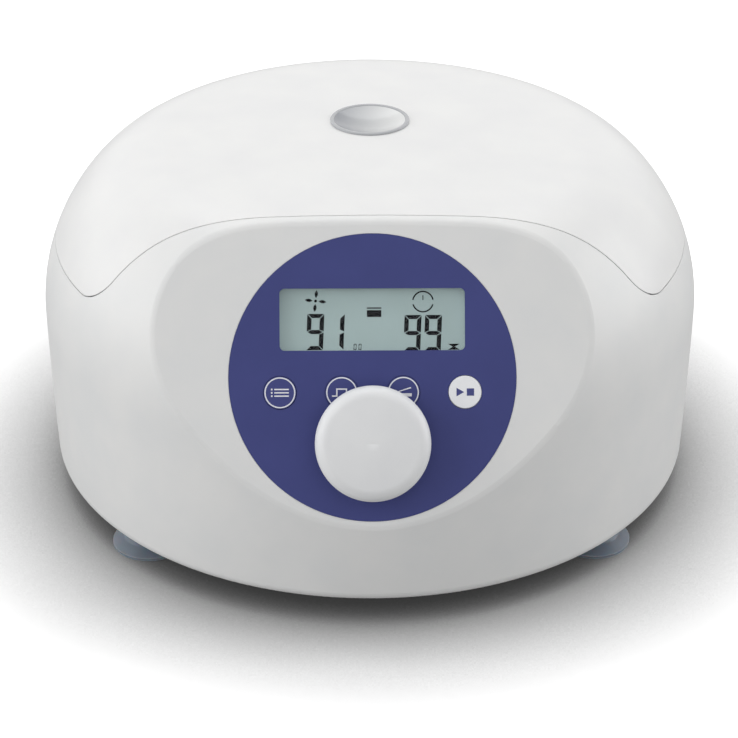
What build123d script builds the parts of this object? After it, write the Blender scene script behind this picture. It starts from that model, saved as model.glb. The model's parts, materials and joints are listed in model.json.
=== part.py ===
from build123d import *
import os
from math import atan2, cos, degrees, hypot, radians, sin, sqrt, tan

os.makedirs("parts", exist_ok=True)

# A personal microcentrifuge, in millimetres, +Z up, its control panel towards -Y.
# It is drawn with the drum's axis on Z, and moved at the end so that the origin lies
# on the bench under the middle of the whole instrument.

# Tube sockets of the rotor: they set the rotor, the rotor sets the bowl, and the bowl the drum
socket_count = 8
socket_radius = 5.6
socket_tip_radius = 2.2
socket_straight = 17.0
socket_taper = 15.0
socket_ring = 23.5
socket_tilt = 45.0
socket_end_wall = 3.87
socket_floor_wall = 4.37
rotor_air = 5.0
bowl_wall = 1.5
bowl_flange = 2.0

# The drum: half a section turned about the Z axis, cut by the slanted facet and the flat back
belt_height = 62.8
flank_radius = 2000.0
side_radius = 62.0
shoulder_radius = 38.0
crown_radius = 900.0
crown_dip = 4.6
body_bottom = 9.0
bottom_round = 3.5
back_depth = 15.0
facet_tilt = 29.5
facet_fall = 83.4
facet_top_drop = 2.27
facet_round = 3.2

# Spaces along the middle, from the facet's top edge to the flat back
console_strip = 2.9
bowl_setback = 11.2
rear_space = 28.0

# Shells
housing_wall = 3.0
deck_thickness = 3.0
bottom_flange_height = 4.0
bottom_flange_width = 7.5
lid_wall = 2.5
lid_corner = 9.0
lid_depth = 33.0
seam_gap = 0.4

# What sits on the slanted facet, measured up its slope
disc_radius = 43.4
disc_rise = 45.6
overlay_thickness = 0.5
overlay_recess = 0.4
window_width = 55.9
window_height = 18.7
window_rise = 63.1
window_round = 1.5
window_thickness = 1.6
window_margin = 0.6
key_radius = 4.95
key_flange_radius = 6.0
key_flange_thickness = 0.8
key_rise = 41.1
key_pitch = 18.6
key_proud = 0.3
key_travel = 0.5
knob_radius = 17.25
knob_rise = 26.0
knob_height = 15.0
knob_underside = 5.0
knob_stem_radius = 8.5
knob_lift = 1.0
knob_dome_radius = 130.0
knob_top_round = 4.0
knob_rim_round = 1.2
encoder_shaft_radius = 3.0
encoder_shaft_top = 12.0
encoder_size = 12.0
encoder_neck_radius = 4.2

# Electronics behind the panel
lcd_side_border = 3.05
lcd_top_border = 2.65
lcd_thickness = 4.4
lcd_glass_thickness = 1.8
lcd_block_inset = 2.0
board_thickness = 1.6
board_side_border = 7.0
panel_board_low = 17.0
panel_board_high = 73.0
board_post_radius = 2.6
board_post_edge = 0.9
board_screw_length = 6.5
switch_size = 6.0

# Chamber, rotor and drive
bowl_bottom = 44.0
bowl_round = 9.0
rotor_lift = 3.5
rim_inset = 10.0
rim_lip = 4.5
rim_chamfer = 2.0
rim_chamfer_height = 3.0
rotor_skirt_height = 11.0
rotor_skirt_round = 3.0
rotor_hub_radius = 14.0
rotor_foot_step = 2.0
rotor_relief = 6.0
rotor_relief_inset = 19.0
nut_radius = 8.0
nut_height = 9.5
nut_round = 1.5
nut_cover = 2.5
nut_groove_count = 12
nut_groove_radius = 0.9
shaft_radius = 3.0
spigot_radius = 5.0
spigot_height = 13.0
collar_radius = 6.5
collar_height = 2.0
bearing_radius = 9.5
bearing_width = 6.0
can_radius = 30.0
can_wall = 1.5
can_bottom = 15.0
can_cover = 2.5
can_neck_wall = 2.0
magnet_radius = 16.0
stator_inner = 16.6
core_low = 23.5
core_high = 34.5
plate_bottom = 38.0
plate_thickness = 2.0
plate_radius = 46.0
motor_post_ring = 40.0
motor_post_radius = 4.5
damper_radius = 5.5
damper_height = 5.0
can_round = 2.0
can_screw_inset = 5.0
slot_count = 12
tooth_wall = 1.5
slot_depth = 6.0
slot_width = 3.2
slot_mouth = 1.2

# Base and feet
pan_thickness = 3.0
foot_inset = 6.35
foot_angle = 39.88
foot_radius = 12.5
foot_ring_width = 1.8
foot_lip_height = 0.9
foot_cup_height = 5.0
foot_cup_hollow = 2.6
foot_stem_radius = 6.0
foot_stem_flare = 0.6
foot_neck_radius = 3.4
foot_button_radius = 4.8
foot_button_height = 2.5
foot_button_taper = 1.2
pan_boss_radius = 4.5
pan_boss_inset = 6.5
pan_boss_height = 20.0
pan_boss_rib = 1.5
pan_boss_angles = (0.0, 180.0, -72.0, -108.0)
rear_boss_x = 44.0
base_screw_short = 6.0
pan_vent_count = 7
pan_vent_pitch = 6.0
pan_vent_width = 2.4
pan_vent_front = -62.0
pan_vent_back = -38.0
rear_vent_count = 6
rear_vent_pitch = 4.8
rear_vent_width = 2.0
rear_vent_low = 18.0
rear_vent_high = 26.0

# Lid furniture
liner_thickness = 3.0
liner_lift = 1.1
pocket_inset = 7.5
pocket_wall = 2.0
pocket_drop = 14.2
pocket_round = 6.0
seal_width = 3.0
seal_lift = 0.1
bezel_radius = 13.15
lens_radius = 11.8
bezel_wall = 0.6
bezel_proud = 0.7
bezel_depth = 5.5
bezel_seat = 1.0
bezel_flange_lift = 0.1
bezel_edge = 0.25
lens_sink = 0.3
lens_dish = 2.4
lens_thickness = 1.8
lens_lip = 1.2
liner_boss_radius = 4.0
liner_boss_inset = 30.0
liner_boss_angles = (-18.7, 40.0)
hook_thickness = 3.0
hook_width = 5.0
hook_setback = 6.0
hook_tail = 5.0
hook_eye_drop = 16.4
hook_eye_radius = 1.9
hook_slot_gap = 1.3
hook_foot_width = 16.0
hook_foot_length = 8.5
hook_foot_thickness = 2.5

# Lock, sensor and lid hinge
bolt_radius = 1.3
bolt_clear = 2.5
bolt_short = 10.0
bolt_proud = 0.5
lock_length = 28.0
lock_depth = 10.0
lock_end_wall = 2.0
sensor_length = 13.0
sensor_height = 7.0
sensor_depth = 6.0
sensor_gap = 0.8
sensor_lever = 2.0
sensor_lever_reach = 0.6
sensor_lever_width = 3.0
sensor_lever_drop = 0.8
hinge_reach = 9.5
hinge_drop = 1.7
knuckle_radius = 5.0
hinge_pin_radius = 2.0
hinge_half_width = 30.0
leaf_half_width = 20.0
hinge_plate_thickness = 2.5
bracket_fall = 19.5
bracket_screw_x = 12.0
bracket_ear_height = 10.0
leaf_rise = 13.5
leaf_lift = 1.5
leaf_web_inset = 9.0
leaf_web_drop = 4.0
leaf_screw_edge = 4.5
leaf_screw_drop = 4.2

# Mains inlet, fuse and switch in the back
inlet_x = -24.0
inlet_drop = 1.0
inlet_width = 28.0
inlet_tall = 36.0
inlet_depth = 23.0
inlet_flange = 2.0
inlet_flange_margin = 3.0
recess_width = 24.0
recess_tall = 16.0
recess_depth = 15.0
recess_lift = 6.0
pin_width = 2.0
pin_tall = 4.0
pin_length = 12.0
pin_tail = 6.0
pin_spread = 7.0
drawer_width = 22.0
drawer_tall = 8.0
drawer_depth = 19.0
drawer_drop = 11.0
drawer_wall = 1.2
drawer_gap = 0.15
drawer_back = 2.0
drawer_front = 4.0
grip_width = 8.0
grip_reach = 2.0
grip_low = 2.6
grip_high = 1.4
fuse_radius = 2.6
fuse_gap = 0.1
switch_x = 26.0
switch_height = 42.0
switch_width = 13.2
switch_tall = 20.0
switch_depth = 14.0
switch_bezel = 1.5
switch_wall = 1.1
switch_flange = 1.2
rocker_swing = 14.0
rocker_thickness = 6.0
rocker_sink = 1.4
rocker_end_gap = 0.8
rocker_side_gap = 0.3
rocker_axle_radius = 1.2
rocker_axle_end = 0.6
terminal_length = 5.0
terminal_spread = 3.5
terminal_width = 2.0
terminal_tall = 6.0

# Power board behind the motor
power_board_width = 76.0
power_board_gap = 6.5
power_board_depth = 26.0
power_board_height = 20.0
power_board_corner = 4.0
power_post_radius = 3.0
part_height = 15.0
transformer_x = 19.0
transformer_width = 20.0
transformer_depth = 18.0
transformer_front = 6.5
coil_inset = 3.0
coil_overhang = 1.5
coil_step = 2.5
capacitor_x = -18.6
capacitor_pitch = 10.8
capacitor_front = 8.5
capacitor_radius = 5.2
capacitor_round = 0.8
sink_width = 10.0
sink_depth = 15.0
sink_front = 10.0
sink_base = 3.0
sink_height = 14.0
fin_count = 4
fin_thickness = 1.2
plug_height = 6.5
plug_setback = 0.5
ribbon_plug_width = 16.0
ribbon_plug_depth = 5.0
lead_plug_width = 7.0
lead_plug_depth = 2.8
lead_x = 14.0
lead_radius = 2.0
display_plug_thickness = 4.0
ribbon_rise_step = 4.0
ribbon_width = 12.0
ribbon_thickness = 0.8
ribbon_floor_gap = 0.6
ribbon_drop = 14.0
ribbon_slant = 9.0
ribbon_end_run = 5.0
ribbon_bends = (6.0, 9.0, 5.0, 4.0)
wire_radius = 1.2
inlet_wire_run = 5.0
switch_wire_run = 2.6
wire_bend_share = 0.8

# Clearances
loose_gap = 0.3
running_gap = 0.05
seat_gap = 0.02
screw_gap = 0.1

# Screws
screw_head_radius = 2.8
screw_head_height = 1.8
screw_radius = 1.4
screw_drive = 1.1
screw_drive_length = 3.5
screw_seat = 1.2

# Beyond every piece, for cuts that go right through
far = 400.0

# The chain from the tubes to the drum
socket_reach = (socket_straight + socket_taper) * sin(radians(socket_tilt))
rotor_radius = socket_ring + socket_reach + socket_end_wall
rotor_rim_radius = rotor_radius - rim_inset
rotor_bottom = bowl_bottom + bowl_wall + rotor_lift
bowl_radius = rotor_radius + rotor_air
bowl_outer = bowl_radius + bowl_wall + bowl_flange
facet_run = (facet_fall - facet_top_drop) * tan(radians(facet_tilt))
drum_depth = facet_run + console_strip + bowl_setback + 2 * bowl_outer + rear_space + back_depth
drum_radius = drum_depth / 2
rear_flat = drum_radius - back_depth
lid_front = drum_radius - facet_run - console_strip
axis_y = rear_flat - rear_space - bowl_outer
crown_height = belt_height + side_radius - crown_dip
facet_foot_height = crown_height - facet_fall
seam_height = crown_height - lid_depth


# Small helpers

def block(x0, x1, y0, y1, z0, z1):
    """Box between three pairs of limits."""
    centre = ((x0 + x1) / 2, (y0 + y1) / 2, (z0 + z1) / 2)
    return Pos(*centre) * Box(x1 - x0, y1 - y0, z1 - z0)


def rod(radius, low, high, x=0.0, y=0.0):
    """Upright cylinder between two heights."""
    return Pos(x, y, (low + high) / 2) * Cylinder(radius, high - low)


def tube(outer, inner, low, high, x=0.0, y=0.0):
    """Upright ring between two heights."""
    return rod(outer, low, high, x, y) - rod(inner, low - 1.0, high + 1.0, x, y)


def turned(points, x=0.0, y=0.0):
    """Solid turned about an upright axis from (radius, height) points."""
    corners = [(radius, 0.0, height) for radius, height in points]
    outline = make_face(Polyline(*corners, close=True).edges())
    return Pos(x, y, 0.0) * revolve(outline, Axis.Z)


def fused(shapes):
    """All the shapes as one solid."""
    first, *others = shapes
    for other in others:
        first = first + other
    return first


def group(shapes):
    """Separate solids in one node."""
    return Compound([solid for shape in shapes for solid in shape.solids()])


def screw(length):
    """Pan-head screw along +Z, its head's top at zero and its shank's end at length."""
    head = rod(screw_head_radius, 0.0, screw_head_height)
    head = fillet(head.edges().sort_by(Axis.Z)[0], screw_head_height / 3)
    drive = Box(screw_drive_length, screw_drive, screw_drive)
    drive += Box(screw_drive, screw_drive_length, screw_drive)
    return head + rod(screw_radius, screw_head_height, length) - drive


def screw_hole(length):
    """Clearance for a screw's shank, along +Z."""
    return rod(screw_radius + screw_gap, -1.0, length)


# The drum's section

def circle_meeting(first, first_radius, second, second_radius):
    """Outer crossing of two circles in the section plane."""
    dx = second[0] - first[0]
    dz = second[1] - first[1]
    apart = hypot(dx, dz)
    along = (first_radius**2 - second_radius**2 + apart**2) / (2 * apart)
    across = sqrt(first_radius**2 - along**2)
    x = first[0] + (along * dx - across * dz) / apart
    z = first[1] + (along * dz + across * dx) / apart
    return x, z


def on_circle(centre, radius, towards):
    """Point of a circle in the direction of another point."""
    angle = atan2(towards[1] - centre[1], towards[0] - centre[0])
    return centre[0] + radius * cos(angle), centre[1] + radius * sin(angle)


def arc(centre, radius, start, end):
    """Arc in the section plane from one point to another, by its middle."""
    middle = ((start[0] + end[0]) / 2, (start[1] + end[1]) / 2)
    middle = on_circle(centre, radius, middle)
    points = [(x, 0.0, z) for x, z in (start, middle, end)]
    return ThreePointArc(*points)


side_centre = (drum_radius - side_radius, belt_height)
flank_centre = (drum_radius - flank_radius, belt_height)
crown_centre = (0.0, crown_height - crown_radius)
shoulder_centre = circle_meeting(
    side_centre,
    side_radius - shoulder_radius,
    crown_centre,
    crown_radius - shoulder_radius,
)


def flank(height, inset=0.0):
    """Radius of the drum below its belt."""
    drop = belt_height - height
    return flank_centre[0] + sqrt((flank_radius - inset) ** 2 - drop**2)


def side(height, inset=0.0):
    """Radius of the drum on its upper side arc."""
    rise = height - belt_height
    return side_centre[0] + sqrt((side_radius - inset) ** 2 - rise**2)


def crown(radius, inset=0.0):
    """Height of the drum's crown at a distance from its axis."""
    return crown_centre[1] + sqrt((crown_radius - inset) ** 2 - radius**2)


def drum(inset=0.0, floor=body_bottom):
    """The whole drum as one solid, with its skin moved inwards."""
    foot = (flank(floor, inset), floor)
    belt = (drum_radius - inset, belt_height)
    side_end = on_circle(side_centre, side_radius - inset, shoulder_centre)
    crown_end = on_circle(crown_centre, crown_radius - inset, shoulder_centre)
    top = (0.0, crown_height - inset)
    edges = [
        Line((0, 0, floor), (foot[0], 0, floor)),
        arc(flank_centre, flank_radius - inset, foot, belt),
        arc(side_centre, side_radius - inset, belt, side_end),
        arc(shoulder_centre, shoulder_radius - inset, side_end, crown_end),
        arc(crown_centre, crown_radius - inset, crown_end, top),
        Line((0, 0, top[1]), (0, 0, floor)),
    ]
    return revolve(make_face(edges), Axis.Z)


# The slanted facet

facet_foot = (0.0, -flank(facet_foot_height), facet_foot_height)
facet_normal = (0.0, -cos(radians(facet_tilt)), sin(radians(facet_tilt)))
facet = Plane(origin=facet_foot, x_dir=(1, 0, 0), z_dir=facet_normal).location


def on_facet(shape, x=0.0, rise=0.0, proud=0.0):
    """Puts a shape drawn about Z onto the facet, Z outwards and Y up the slope."""
    return facet * Pos(x, rise, proud) * shape


def facet_cut(inset=0.0):
    """Everything in front of the facet, or in front of a plane behind it."""
    return on_facet(block(-far, far, -far, far, -inset, far))


def rear_cut(inset=0.0):
    """Everything behind the flat back."""
    return block(-far, far, rear_flat - inset, far, -far, far)


def lid_zone(grow):
    """The room behind the lid's front and above its seam, with its round corner."""
    room = block(-far, far, -lid_front - grow, far, seam_height - grow, far)
    corner = room.edges().filter_by(Axis.X).sort_by(Axis.Z)[:2].sort_by(Axis.Y)[0]
    return fillet(corner, lid_corner + grow)


deck_top = seam_height - seam_gap / 2
deck_bottom = deck_top - deck_thickness
lid_bottom = seam_height + seam_gap / 2
pan_top = body_bottom + pan_thickness
board_front = -housing_wall - lcd_thickness
board_back = board_front - board_thickness
key_xs = [(i - 1.5) * key_pitch for i in range(4)]
lcd_width = window_width + 2 * lcd_side_border
lcd_height = window_height + 2 * lcd_top_border
panel_board_width = lcd_width + 2 * board_side_border
key_length = 2.0 * housing_wall - 1.0
key_bottom = key_proud - key_length
motor_post_places = [
    (
        motor_post_ring * cos(radians(45 + 90 * i)),
        axis_y + motor_post_ring * sin(radians(45 + 90 * i)),
    )
    for i in range(4)
]
pan_radius = flank(body_bottom) - bottom_flange_width - loose_gap
pan_boss_ring = pan_radius - pan_boss_inset
pan_boss_places = [
    (pan_boss_ring * cos(radians(a)), pan_boss_ring * sin(radians(a))) for a in pan_boss_angles
]
rear_boss_y = rear_flat - housing_wall - pan_boss_radius - bottom_flange_width / 2
rear_boss_places = [(-rear_boss_x, rear_boss_y), (rear_boss_x, rear_boss_y)]
foot_x = (pan_radius - foot_inset) * cos(radians(foot_angle))
foot_y = (pan_radius - foot_inset) * sin(radians(foot_angle))
foot_places = {
    "foot_front_left": (-foot_x, -foot_y),
    "foot_front_right": (foot_x, -foot_y),
    "foot_rear_left": (-foot_x, foot_y),
    "foot_rear_right": (foot_x, foot_y),
}
hook_behind = lid_front - hook_setback
hook_eye_height = deck_bottom - hook_eye_drop
hook_bottom = hook_eye_height - hook_tail
hook_slot_front = -lid_front - seam_gap / 2 + hook_slot_gap
hook_slot_back = -hook_behind + hook_width / 2 + hook_slot_gap
hook_slot_half = hook_thickness / 2 + hook_slot_gap
board_post_x = panel_board_width / 2 - board_post_radius - board_post_edge
board_post_rises = (
    panel_board_low + board_post_radius + board_post_edge,
    panel_board_high - board_post_radius - board_post_edge,
)
board_post_places = [(x, s) for x in (-board_post_x, board_post_x) for s in board_post_rises]
hinge_axis_back = rear_flat + hinge_reach
hinge_axis_height = seam_height - hinge_drop
bracket_bottom = hinge_axis_height - bracket_fall
leaf_top = hinge_axis_height + leaf_rise
inlet_height = (pan_top + bracket_bottom) / 2 - inlet_drop
power_board_front = axis_y + can_radius + power_board_gap
power_board_back = power_board_front + power_board_depth
power_board_top = power_board_height + board_thickness


# Housing

def skin():
    """The drum with its slanted facet and flat back, its edges rounded."""
    body = drum()
    body = fillet(body.edges().filter_by(GeomType.CIRCLE).sort_by(Axis.Z)[0], bottom_round)
    body = body - facet_cut()
    slanted = [f for f in body.faces() if f.normal_at().dot(Vector(*facet_normal)) > 0.9999]
    body = fillet(slanted[0].edges(), facet_round)
    return body - rear_cut()


def pan_boss(x, y):
    """Boss for a base screw, with a rib that runs outwards to the wall."""
    low = pan_top
    high = pan_top + pan_boss_height
    angle = degrees(atan2(y, x))
    reach = block(0.0, far, -pan_boss_rib, pan_boss_rib, low, high)
    rib = Pos(x, y, 0.0) * Rot(0.0, 0.0, angle) * reach
    rib = rib & drum(housing_wall / 2, low)
    boss = rod(pan_boss_radius, low, high, x, y) + (rib - rear_cut(housing_wall / 2))
    return boss - Pos(x, y, low) * screw_hole(pan_boss_height - 2.0)


def housing_cavity():
    """The room inside the housing, open at the bottom."""
    room = drum(housing_wall, body_bottom + bottom_flange_height)
    room = room - facet_cut(housing_wall) - rear_cut(housing_wall)
    room = room - lid_zone(seam_gap / 2 + deck_thickness)
    mouth = rod(pan_radius + loose_gap, body_bottom - 1.0, body_bottom + bottom_flange_height + 1.0)
    return room + (mouth - rear_cut(bottom_flange_width))


def rear_openings():
    """Cut-outs for the inlet and the switch, and the vent slots between them."""
    depth = (rear_flat - housing_wall - 1.0, rear_flat + 1.0)
    half_w = inlet_width / 2 + loose_gap / 2
    half_t = inlet_tall / 2 + loose_gap / 2
    inlet = block(
        inlet_x - half_w, inlet_x + half_w, *depth, inlet_height - half_t, inlet_height + half_t
    )
    half_w = switch_width / 2 + loose_gap / 2
    half_t = switch_tall / 2 + loose_gap / 2
    switch = block(
        switch_x - half_w, switch_x + half_w, *depth, switch_height - half_t, switch_height + half_t
    )
    middle = (rear_vent_count - 1) / 2
    half_w = rear_vent_width / 2
    slots = [
        block(x - half_w, x + half_w, *depth, rear_vent_low, rear_vent_high)
        for x in [switch_x + rear_vent_pitch * (i - middle) for i in range(rear_vent_count)]
    ]
    return fused([inlet, switch] + slots)


def board_posts():
    """Posts behind the facet that carry the display board."""
    posts = []
    for x, s in board_post_places:
        post = rod(board_post_radius, board_front, -housing_wall + 0.5)
        hole = rod(screw_radius + screw_gap, board_front - 1.0, -housing_wall)
        posts.append(on_facet(post - hole, x, s))
    return posts


def panel_openings():
    """The shallow recess for the overlay and the holes through the facet."""
    recess = on_facet(rod(disc_radius + 0.1, -overlay_recess, 1.0), 0.0, disc_rise)
    width = window_width + 2 * window_margin
    height = window_height + 2 * window_margin
    window = on_facet(Box(width, height, 4 * housing_wall), 0.0, window_rise)
    keys = [
        on_facet(Cylinder(key_radius + loose_gap, 4 * housing_wall), x, key_rise) for x in key_xs
    ]
    neck = Cylinder(encoder_neck_radius + loose_gap, 4 * housing_wall)
    return fused([recess, window, on_facet(neck, 0.0, knob_rise)] + keys)


def bracket_screw_places():
    """Where the hinge bracket is screwed to the back."""
    middle = (bracket_bottom + deck_bottom) / 2 - 1.0
    return [(-bracket_screw_x, middle), (bracket_screw_x, middle)]


def hinge_screw_holes():
    """Holes in the back wall for the hinge bracket's screws."""
    return [
        Pos(x, rear_flat + 1.0, z) * Rot(90, 0, 0) * screw_hole(2.0 * housing_wall)
        for x, z in bracket_screw_places()
    ]


def main_housing():
    """The moulded body: wall, facet, console and deck in one piece."""
    shell = skin() - lid_zone(seam_gap / 2) - housing_cavity()
    shell = fused([shell] + [pan_boss(x, y) for x, y in pan_boss_places + rear_boss_places])
    shell = fused([shell] + board_posts())
    shell -= panel_openings()
    shell -= rod(bowl_radius + bowl_wall + loose_gap, deck_bottom - 1, far, 0.0, axis_y)
    seat_radius = bowl_radius + bowl_wall + bowl_flange + loose_gap
    shell -= rod(seat_radius, deck_top - bowl_wall, far, 0.0, axis_y)
    shell -= block(
        -hook_slot_half, hook_slot_half, hook_slot_front, hook_slot_back, deck_bottom - 1, far
    )
    shell -= rear_openings()
    for hole in hinge_screw_holes():
        shell -= hole
    return shell


# Base

def base_pan():
    """Flat bottom cover with motor posts, board posts, vents and screw seats."""
    plate = rod(pan_radius, body_bottom, pan_top)
    plate -= rear_cut(bottom_flange_width + loose_gap)
    post_top = plate_bottom - damper_height
    posts = [rod(motor_post_radius, pan_top, post_top, x, y) for x, y in motor_post_places]
    posts += [
        rod(power_post_radius, pan_top, power_board_height, x, y) for x, y in power_board_places()
    ]
    pan = fused([plate] + posts)
    for x, y in motor_post_places:
        pan -= Pos(x, y, post_top) * Rot(180, 0, 0) * screw_hole(12.0)
    for x, y in power_board_places():
        pan -= Pos(x, y, power_board_height) * Rot(180, 0, 0) * screw_hole(6.0)
    for x, y in pan_boss_places + rear_boss_places:
        pan -= Pos(x, y, body_bottom) * screw_hole(pan_thickness + 1.0)
        pan -= rod(screw_head_radius + loose_gap, 0.0, body_bottom + screw_seat, x, y)
    for x, y in foot_places.values():
        pan -= rod(foot_neck_radius + screw_gap, 0.0, far, x, y)
    half = pan_vent_width / 2
    for i in range(pan_vent_count):
        x = (i - (pan_vent_count - 1) / 2) * pan_vent_pitch
        pan -= block(x - half, x + half, pan_vent_front, pan_vent_back, 0.0, pan_top + 1.0)
    return pan


def base_screws():
    """Screws up through the pan into the housing's bosses."""
    length = pan_thickness + pan_boss_height - base_screw_short
    low = body_bottom + screw_seat - screw_head_height
    return [Pos(x, y, low) * screw(length) for x, y in pan_boss_places + rear_boss_places]


def foot(x, y):
    """Rubber suction cup on a neck that buttons through the pan."""
    inner = foot_radius - foot_ring_width
    stem_low = foot_cup_height + foot_stem_flare
    points = [
        (0.0, foot_cup_hollow),
        (inner * 0.45, foot_cup_hollow * 0.88),
        (inner, 0.0),
        (foot_radius, 0.0),
        (foot_radius, foot_lip_height),
        (foot_radius * 0.72, foot_cup_height * 0.58),
        (foot_stem_radius + foot_stem_flare, foot_cup_height),
        (foot_stem_radius, stem_low),
        (foot_stem_radius, body_bottom),
        (foot_neck_radius, body_bottom),
        (foot_neck_radius, pan_top),
        (foot_button_radius, pan_top),
        (foot_button_radius - foot_button_taper, pan_top + foot_button_height),
        (0.0, pan_top + foot_button_height),
    ]
    return turned(points, x, y)


# Control panel

def panel_overlay():
    """Round printed sheet with openings for the window, the keys and the knob."""
    low = -overlay_recess
    sheet = rod(disc_radius, low, low + overlay_thickness)
    opening = RectangleRounded(window_width, window_height, window_round)
    window = Pos(0, window_rise - disc_rise, -1.0) * extrude(opening, 3.0)
    sheet = sheet - window
    sheet -= Pos(0, knob_rise - disc_rise, 0) * Cylinder(encoder_neck_radius + loose_gap, 4.0)
    for x in key_xs:
        sheet -= Pos(x, key_rise - disc_rise, 0) * Cylinder(key_radius + loose_gap / 2, 4.0)
    return on_facet(sheet, 0.0, disc_rise)


def display_window():
    """Clear window in the facet's opening, held under the overlay's edge."""
    width = window_width + 2 * window_margin - 0.2
    height = window_height + 2 * window_margin - 0.2
    low = -overlay_recess - window_thickness
    return on_facet(block(-width / 2, width / 2, -height / 2, height / 2, low, -overlay_recess),
                    0.0, window_rise)


def lcd_module():
    """Display glass on its backlight block, between the facet wall and the board."""
    glass_low = -housing_wall - lcd_glass_thickness
    half_w = lcd_width / 2
    half_h = lcd_height / 2
    glass = block(-half_w, half_w, -half_h, half_h, glass_low, -housing_wall)
    half_w -= lcd_block_inset
    half_h -= lcd_block_inset
    back = block(-half_w, half_w, -half_h, half_h, board_front, glass_low)
    return on_facet(glass + back, 0.0, window_rise)


def display_board():
    """Circuit board behind the panel."""
    half = panel_board_width / 2
    sheet = block(-half, half, panel_board_low, panel_board_high, board_back, board_front)
    for x, s in board_post_places:
        sheet -= rod(screw_radius + screw_gap, board_back - 1, board_front + 1, x, s)
    return on_facet(sheet)


def display_board_screws():
    """Screws from behind the board into the housing's posts."""
    return [
        on_facet(Pos(0, 0, board_back - screw_head_height) * screw(board_screw_length), x, s)
        for x, s in board_post_places
    ]


def key_switches():
    """Four short-stroke switches on the board, one under each key."""
    half = switch_size / 2
    top = key_bottom - key_travel - 0.1
    return [
        on_facet(block(-half, half, -half, half, board_front, top), x, key_rise) for x in key_xs
    ]


def key(x):
    """Round key cap, held in by a flange behind the facet wall."""
    cap = rod(key_radius, key_bottom, key_proud)
    cap = fillet(cap.edges().sort_by(Axis.Z)[-1], 0.25)
    flange_top = -housing_wall - 0.1
    cap += rod(key_flange_radius, flange_top - key_flange_thickness, flange_top)
    return on_facet(cap, x, key_rise)


def encoder_body():
    """Rotary encoder on the board, its threaded neck in the facet."""
    half = encoder_size / 2
    body = block(-half, half, -half, half, board_front, -housing_wall - 0.1)
    neck = rod(encoder_neck_radius, -housing_wall - 0.1, 0.0)
    bore = rod(encoder_shaft_radius + running_gap, board_front + 1.0, 10.0)
    return on_facet(body + neck - bore, 0.0, knob_rise)


def encoder_shaft():
    """The encoder's shaft, which carries the knob."""
    shaft = rod(encoder_shaft_radius, board_front + 1.2, encoder_shaft_top)
    return on_facet(shaft, 0.0, knob_rise)


def control_knob():
    """Large round knob on a narrow stem, its top slightly domed."""
    dome_centre = (0.0, knob_height - knob_dome_radius)
    round_x = knob_radius - knob_top_round
    drop = sqrt((knob_dome_radius - knob_top_round) ** 2 - round_x**2)
    round_centre = (round_x, dome_centre[1] + drop)
    dome_end = on_circle(dome_centre, knob_dome_radius, round_centre)
    side_top = (knob_radius, round_centre[1])
    rim_centre = (knob_radius - knob_rim_round, knob_underside + knob_rim_round)
    side_low = (knob_radius, rim_centre[1])
    rim_end = (rim_centre[0], knob_underside)
    outline = make_face([
        Line((0, 0, knob_underside), (rim_end[0], 0, knob_underside)),
        arc(rim_centre, knob_rim_round, rim_end, side_low),
        Line((knob_radius, 0, side_low[1]), (knob_radius, 0, side_top[1])),
        arc(round_centre, knob_top_round, side_top, dome_end),
        arc(dome_centre, knob_dome_radius, dome_end, (0.0, knob_height)),
        Line((0, 0, knob_height), (0, 0, knob_underside)),
    ])
    cap = revolve(outline, Axis.Z)
    cap += rod(knob_stem_radius, knob_lift, knob_underside)
    cap -= rod(encoder_shaft_radius + seat_gap, 0.0, encoder_shaft_top + 0.1)
    return on_facet(cap, 0.0, knob_rise)


# Chamber

def chamber_bowl():
    """Deep bowl hung from its flange in the deck, with a hole for the motor's neck."""
    outer = bowl_radius + bowl_wall
    rim = deck_top - bowl_wall
    shape = fillet(rod(outer, bowl_bottom, rim).edges().sort_by(Axis.Z)[0], bowl_round)
    room = rod(bowl_radius, bowl_bottom + bowl_wall, far)
    room = fillet(room.edges().sort_by(Axis.Z)[0], bowl_round - bowl_wall)
    flange = rod(outer + bowl_flange, rim, deck_top)
    bowl = shape + flange - room
    bowl -= rod(bearing_radius + can_neck_wall + loose_gap, 0.0, bowl_bottom + bowl_wall + 1.0)
    return Pos(0, axis_y, 0) * bowl


def chamber_seal():
    """Flat rubber ring under the liner that closes on the bowl's flange."""
    low = deck_top + seal_lift
    high = deck_top + liner_lift
    inner = bowl_radius + loose_gap
    return tube(inner + seal_width, inner, low, high, 0.0, axis_y)


# Motor

neck_top = bowl_bottom + bowl_wall
can_top = plate_bottom
lower_bearing = can_bottom + can_wall
upper_bearing = neck_top - bearing_width - 0.8


def motor_can():
    """Motor case: a cup with a cover and a neck that holds the upper bearing."""
    case = rod(can_radius, can_bottom, can_top)
    case = fillet(case.edges().sort_by(Axis.Z)[0], can_round)
    room = rod(can_radius - can_wall, can_bottom + can_wall, can_top - can_cover)
    neck = rod(bearing_radius + can_neck_wall, can_top, neck_top)
    boss = rod(bearing_radius + can_neck_wall, can_bottom, lower_bearing + bearing_width / 2)
    case = (case - room) + neck + boss
    case -= rod(bearing_radius + seat_gap, lower_bearing, lower_bearing + bearing_width)
    case -= rod(bearing_radius + seat_gap, upper_bearing, far)
    case -= rod(shaft_radius + 1.5, lower_bearing, far)
    case = case - rod(bearing_radius - 1.5, can_top - can_cover - 1.0, upper_bearing)
    for x, y in can_screw_places():
        case -= Pos(x, y, can_top + 0.01) * Rot(180, 0, 0) * screw_hole(can_cover + 2.0)
    return Pos(0, axis_y, 0) * case


def can_screw_places():
    """Three screws that hold the motor under its plate, about the motor's axis."""
    ring = can_radius - can_screw_inset
    return [(ring * cos(radians(a)), ring * sin(radians(a))) for a in (90, 210, 330)]


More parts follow.
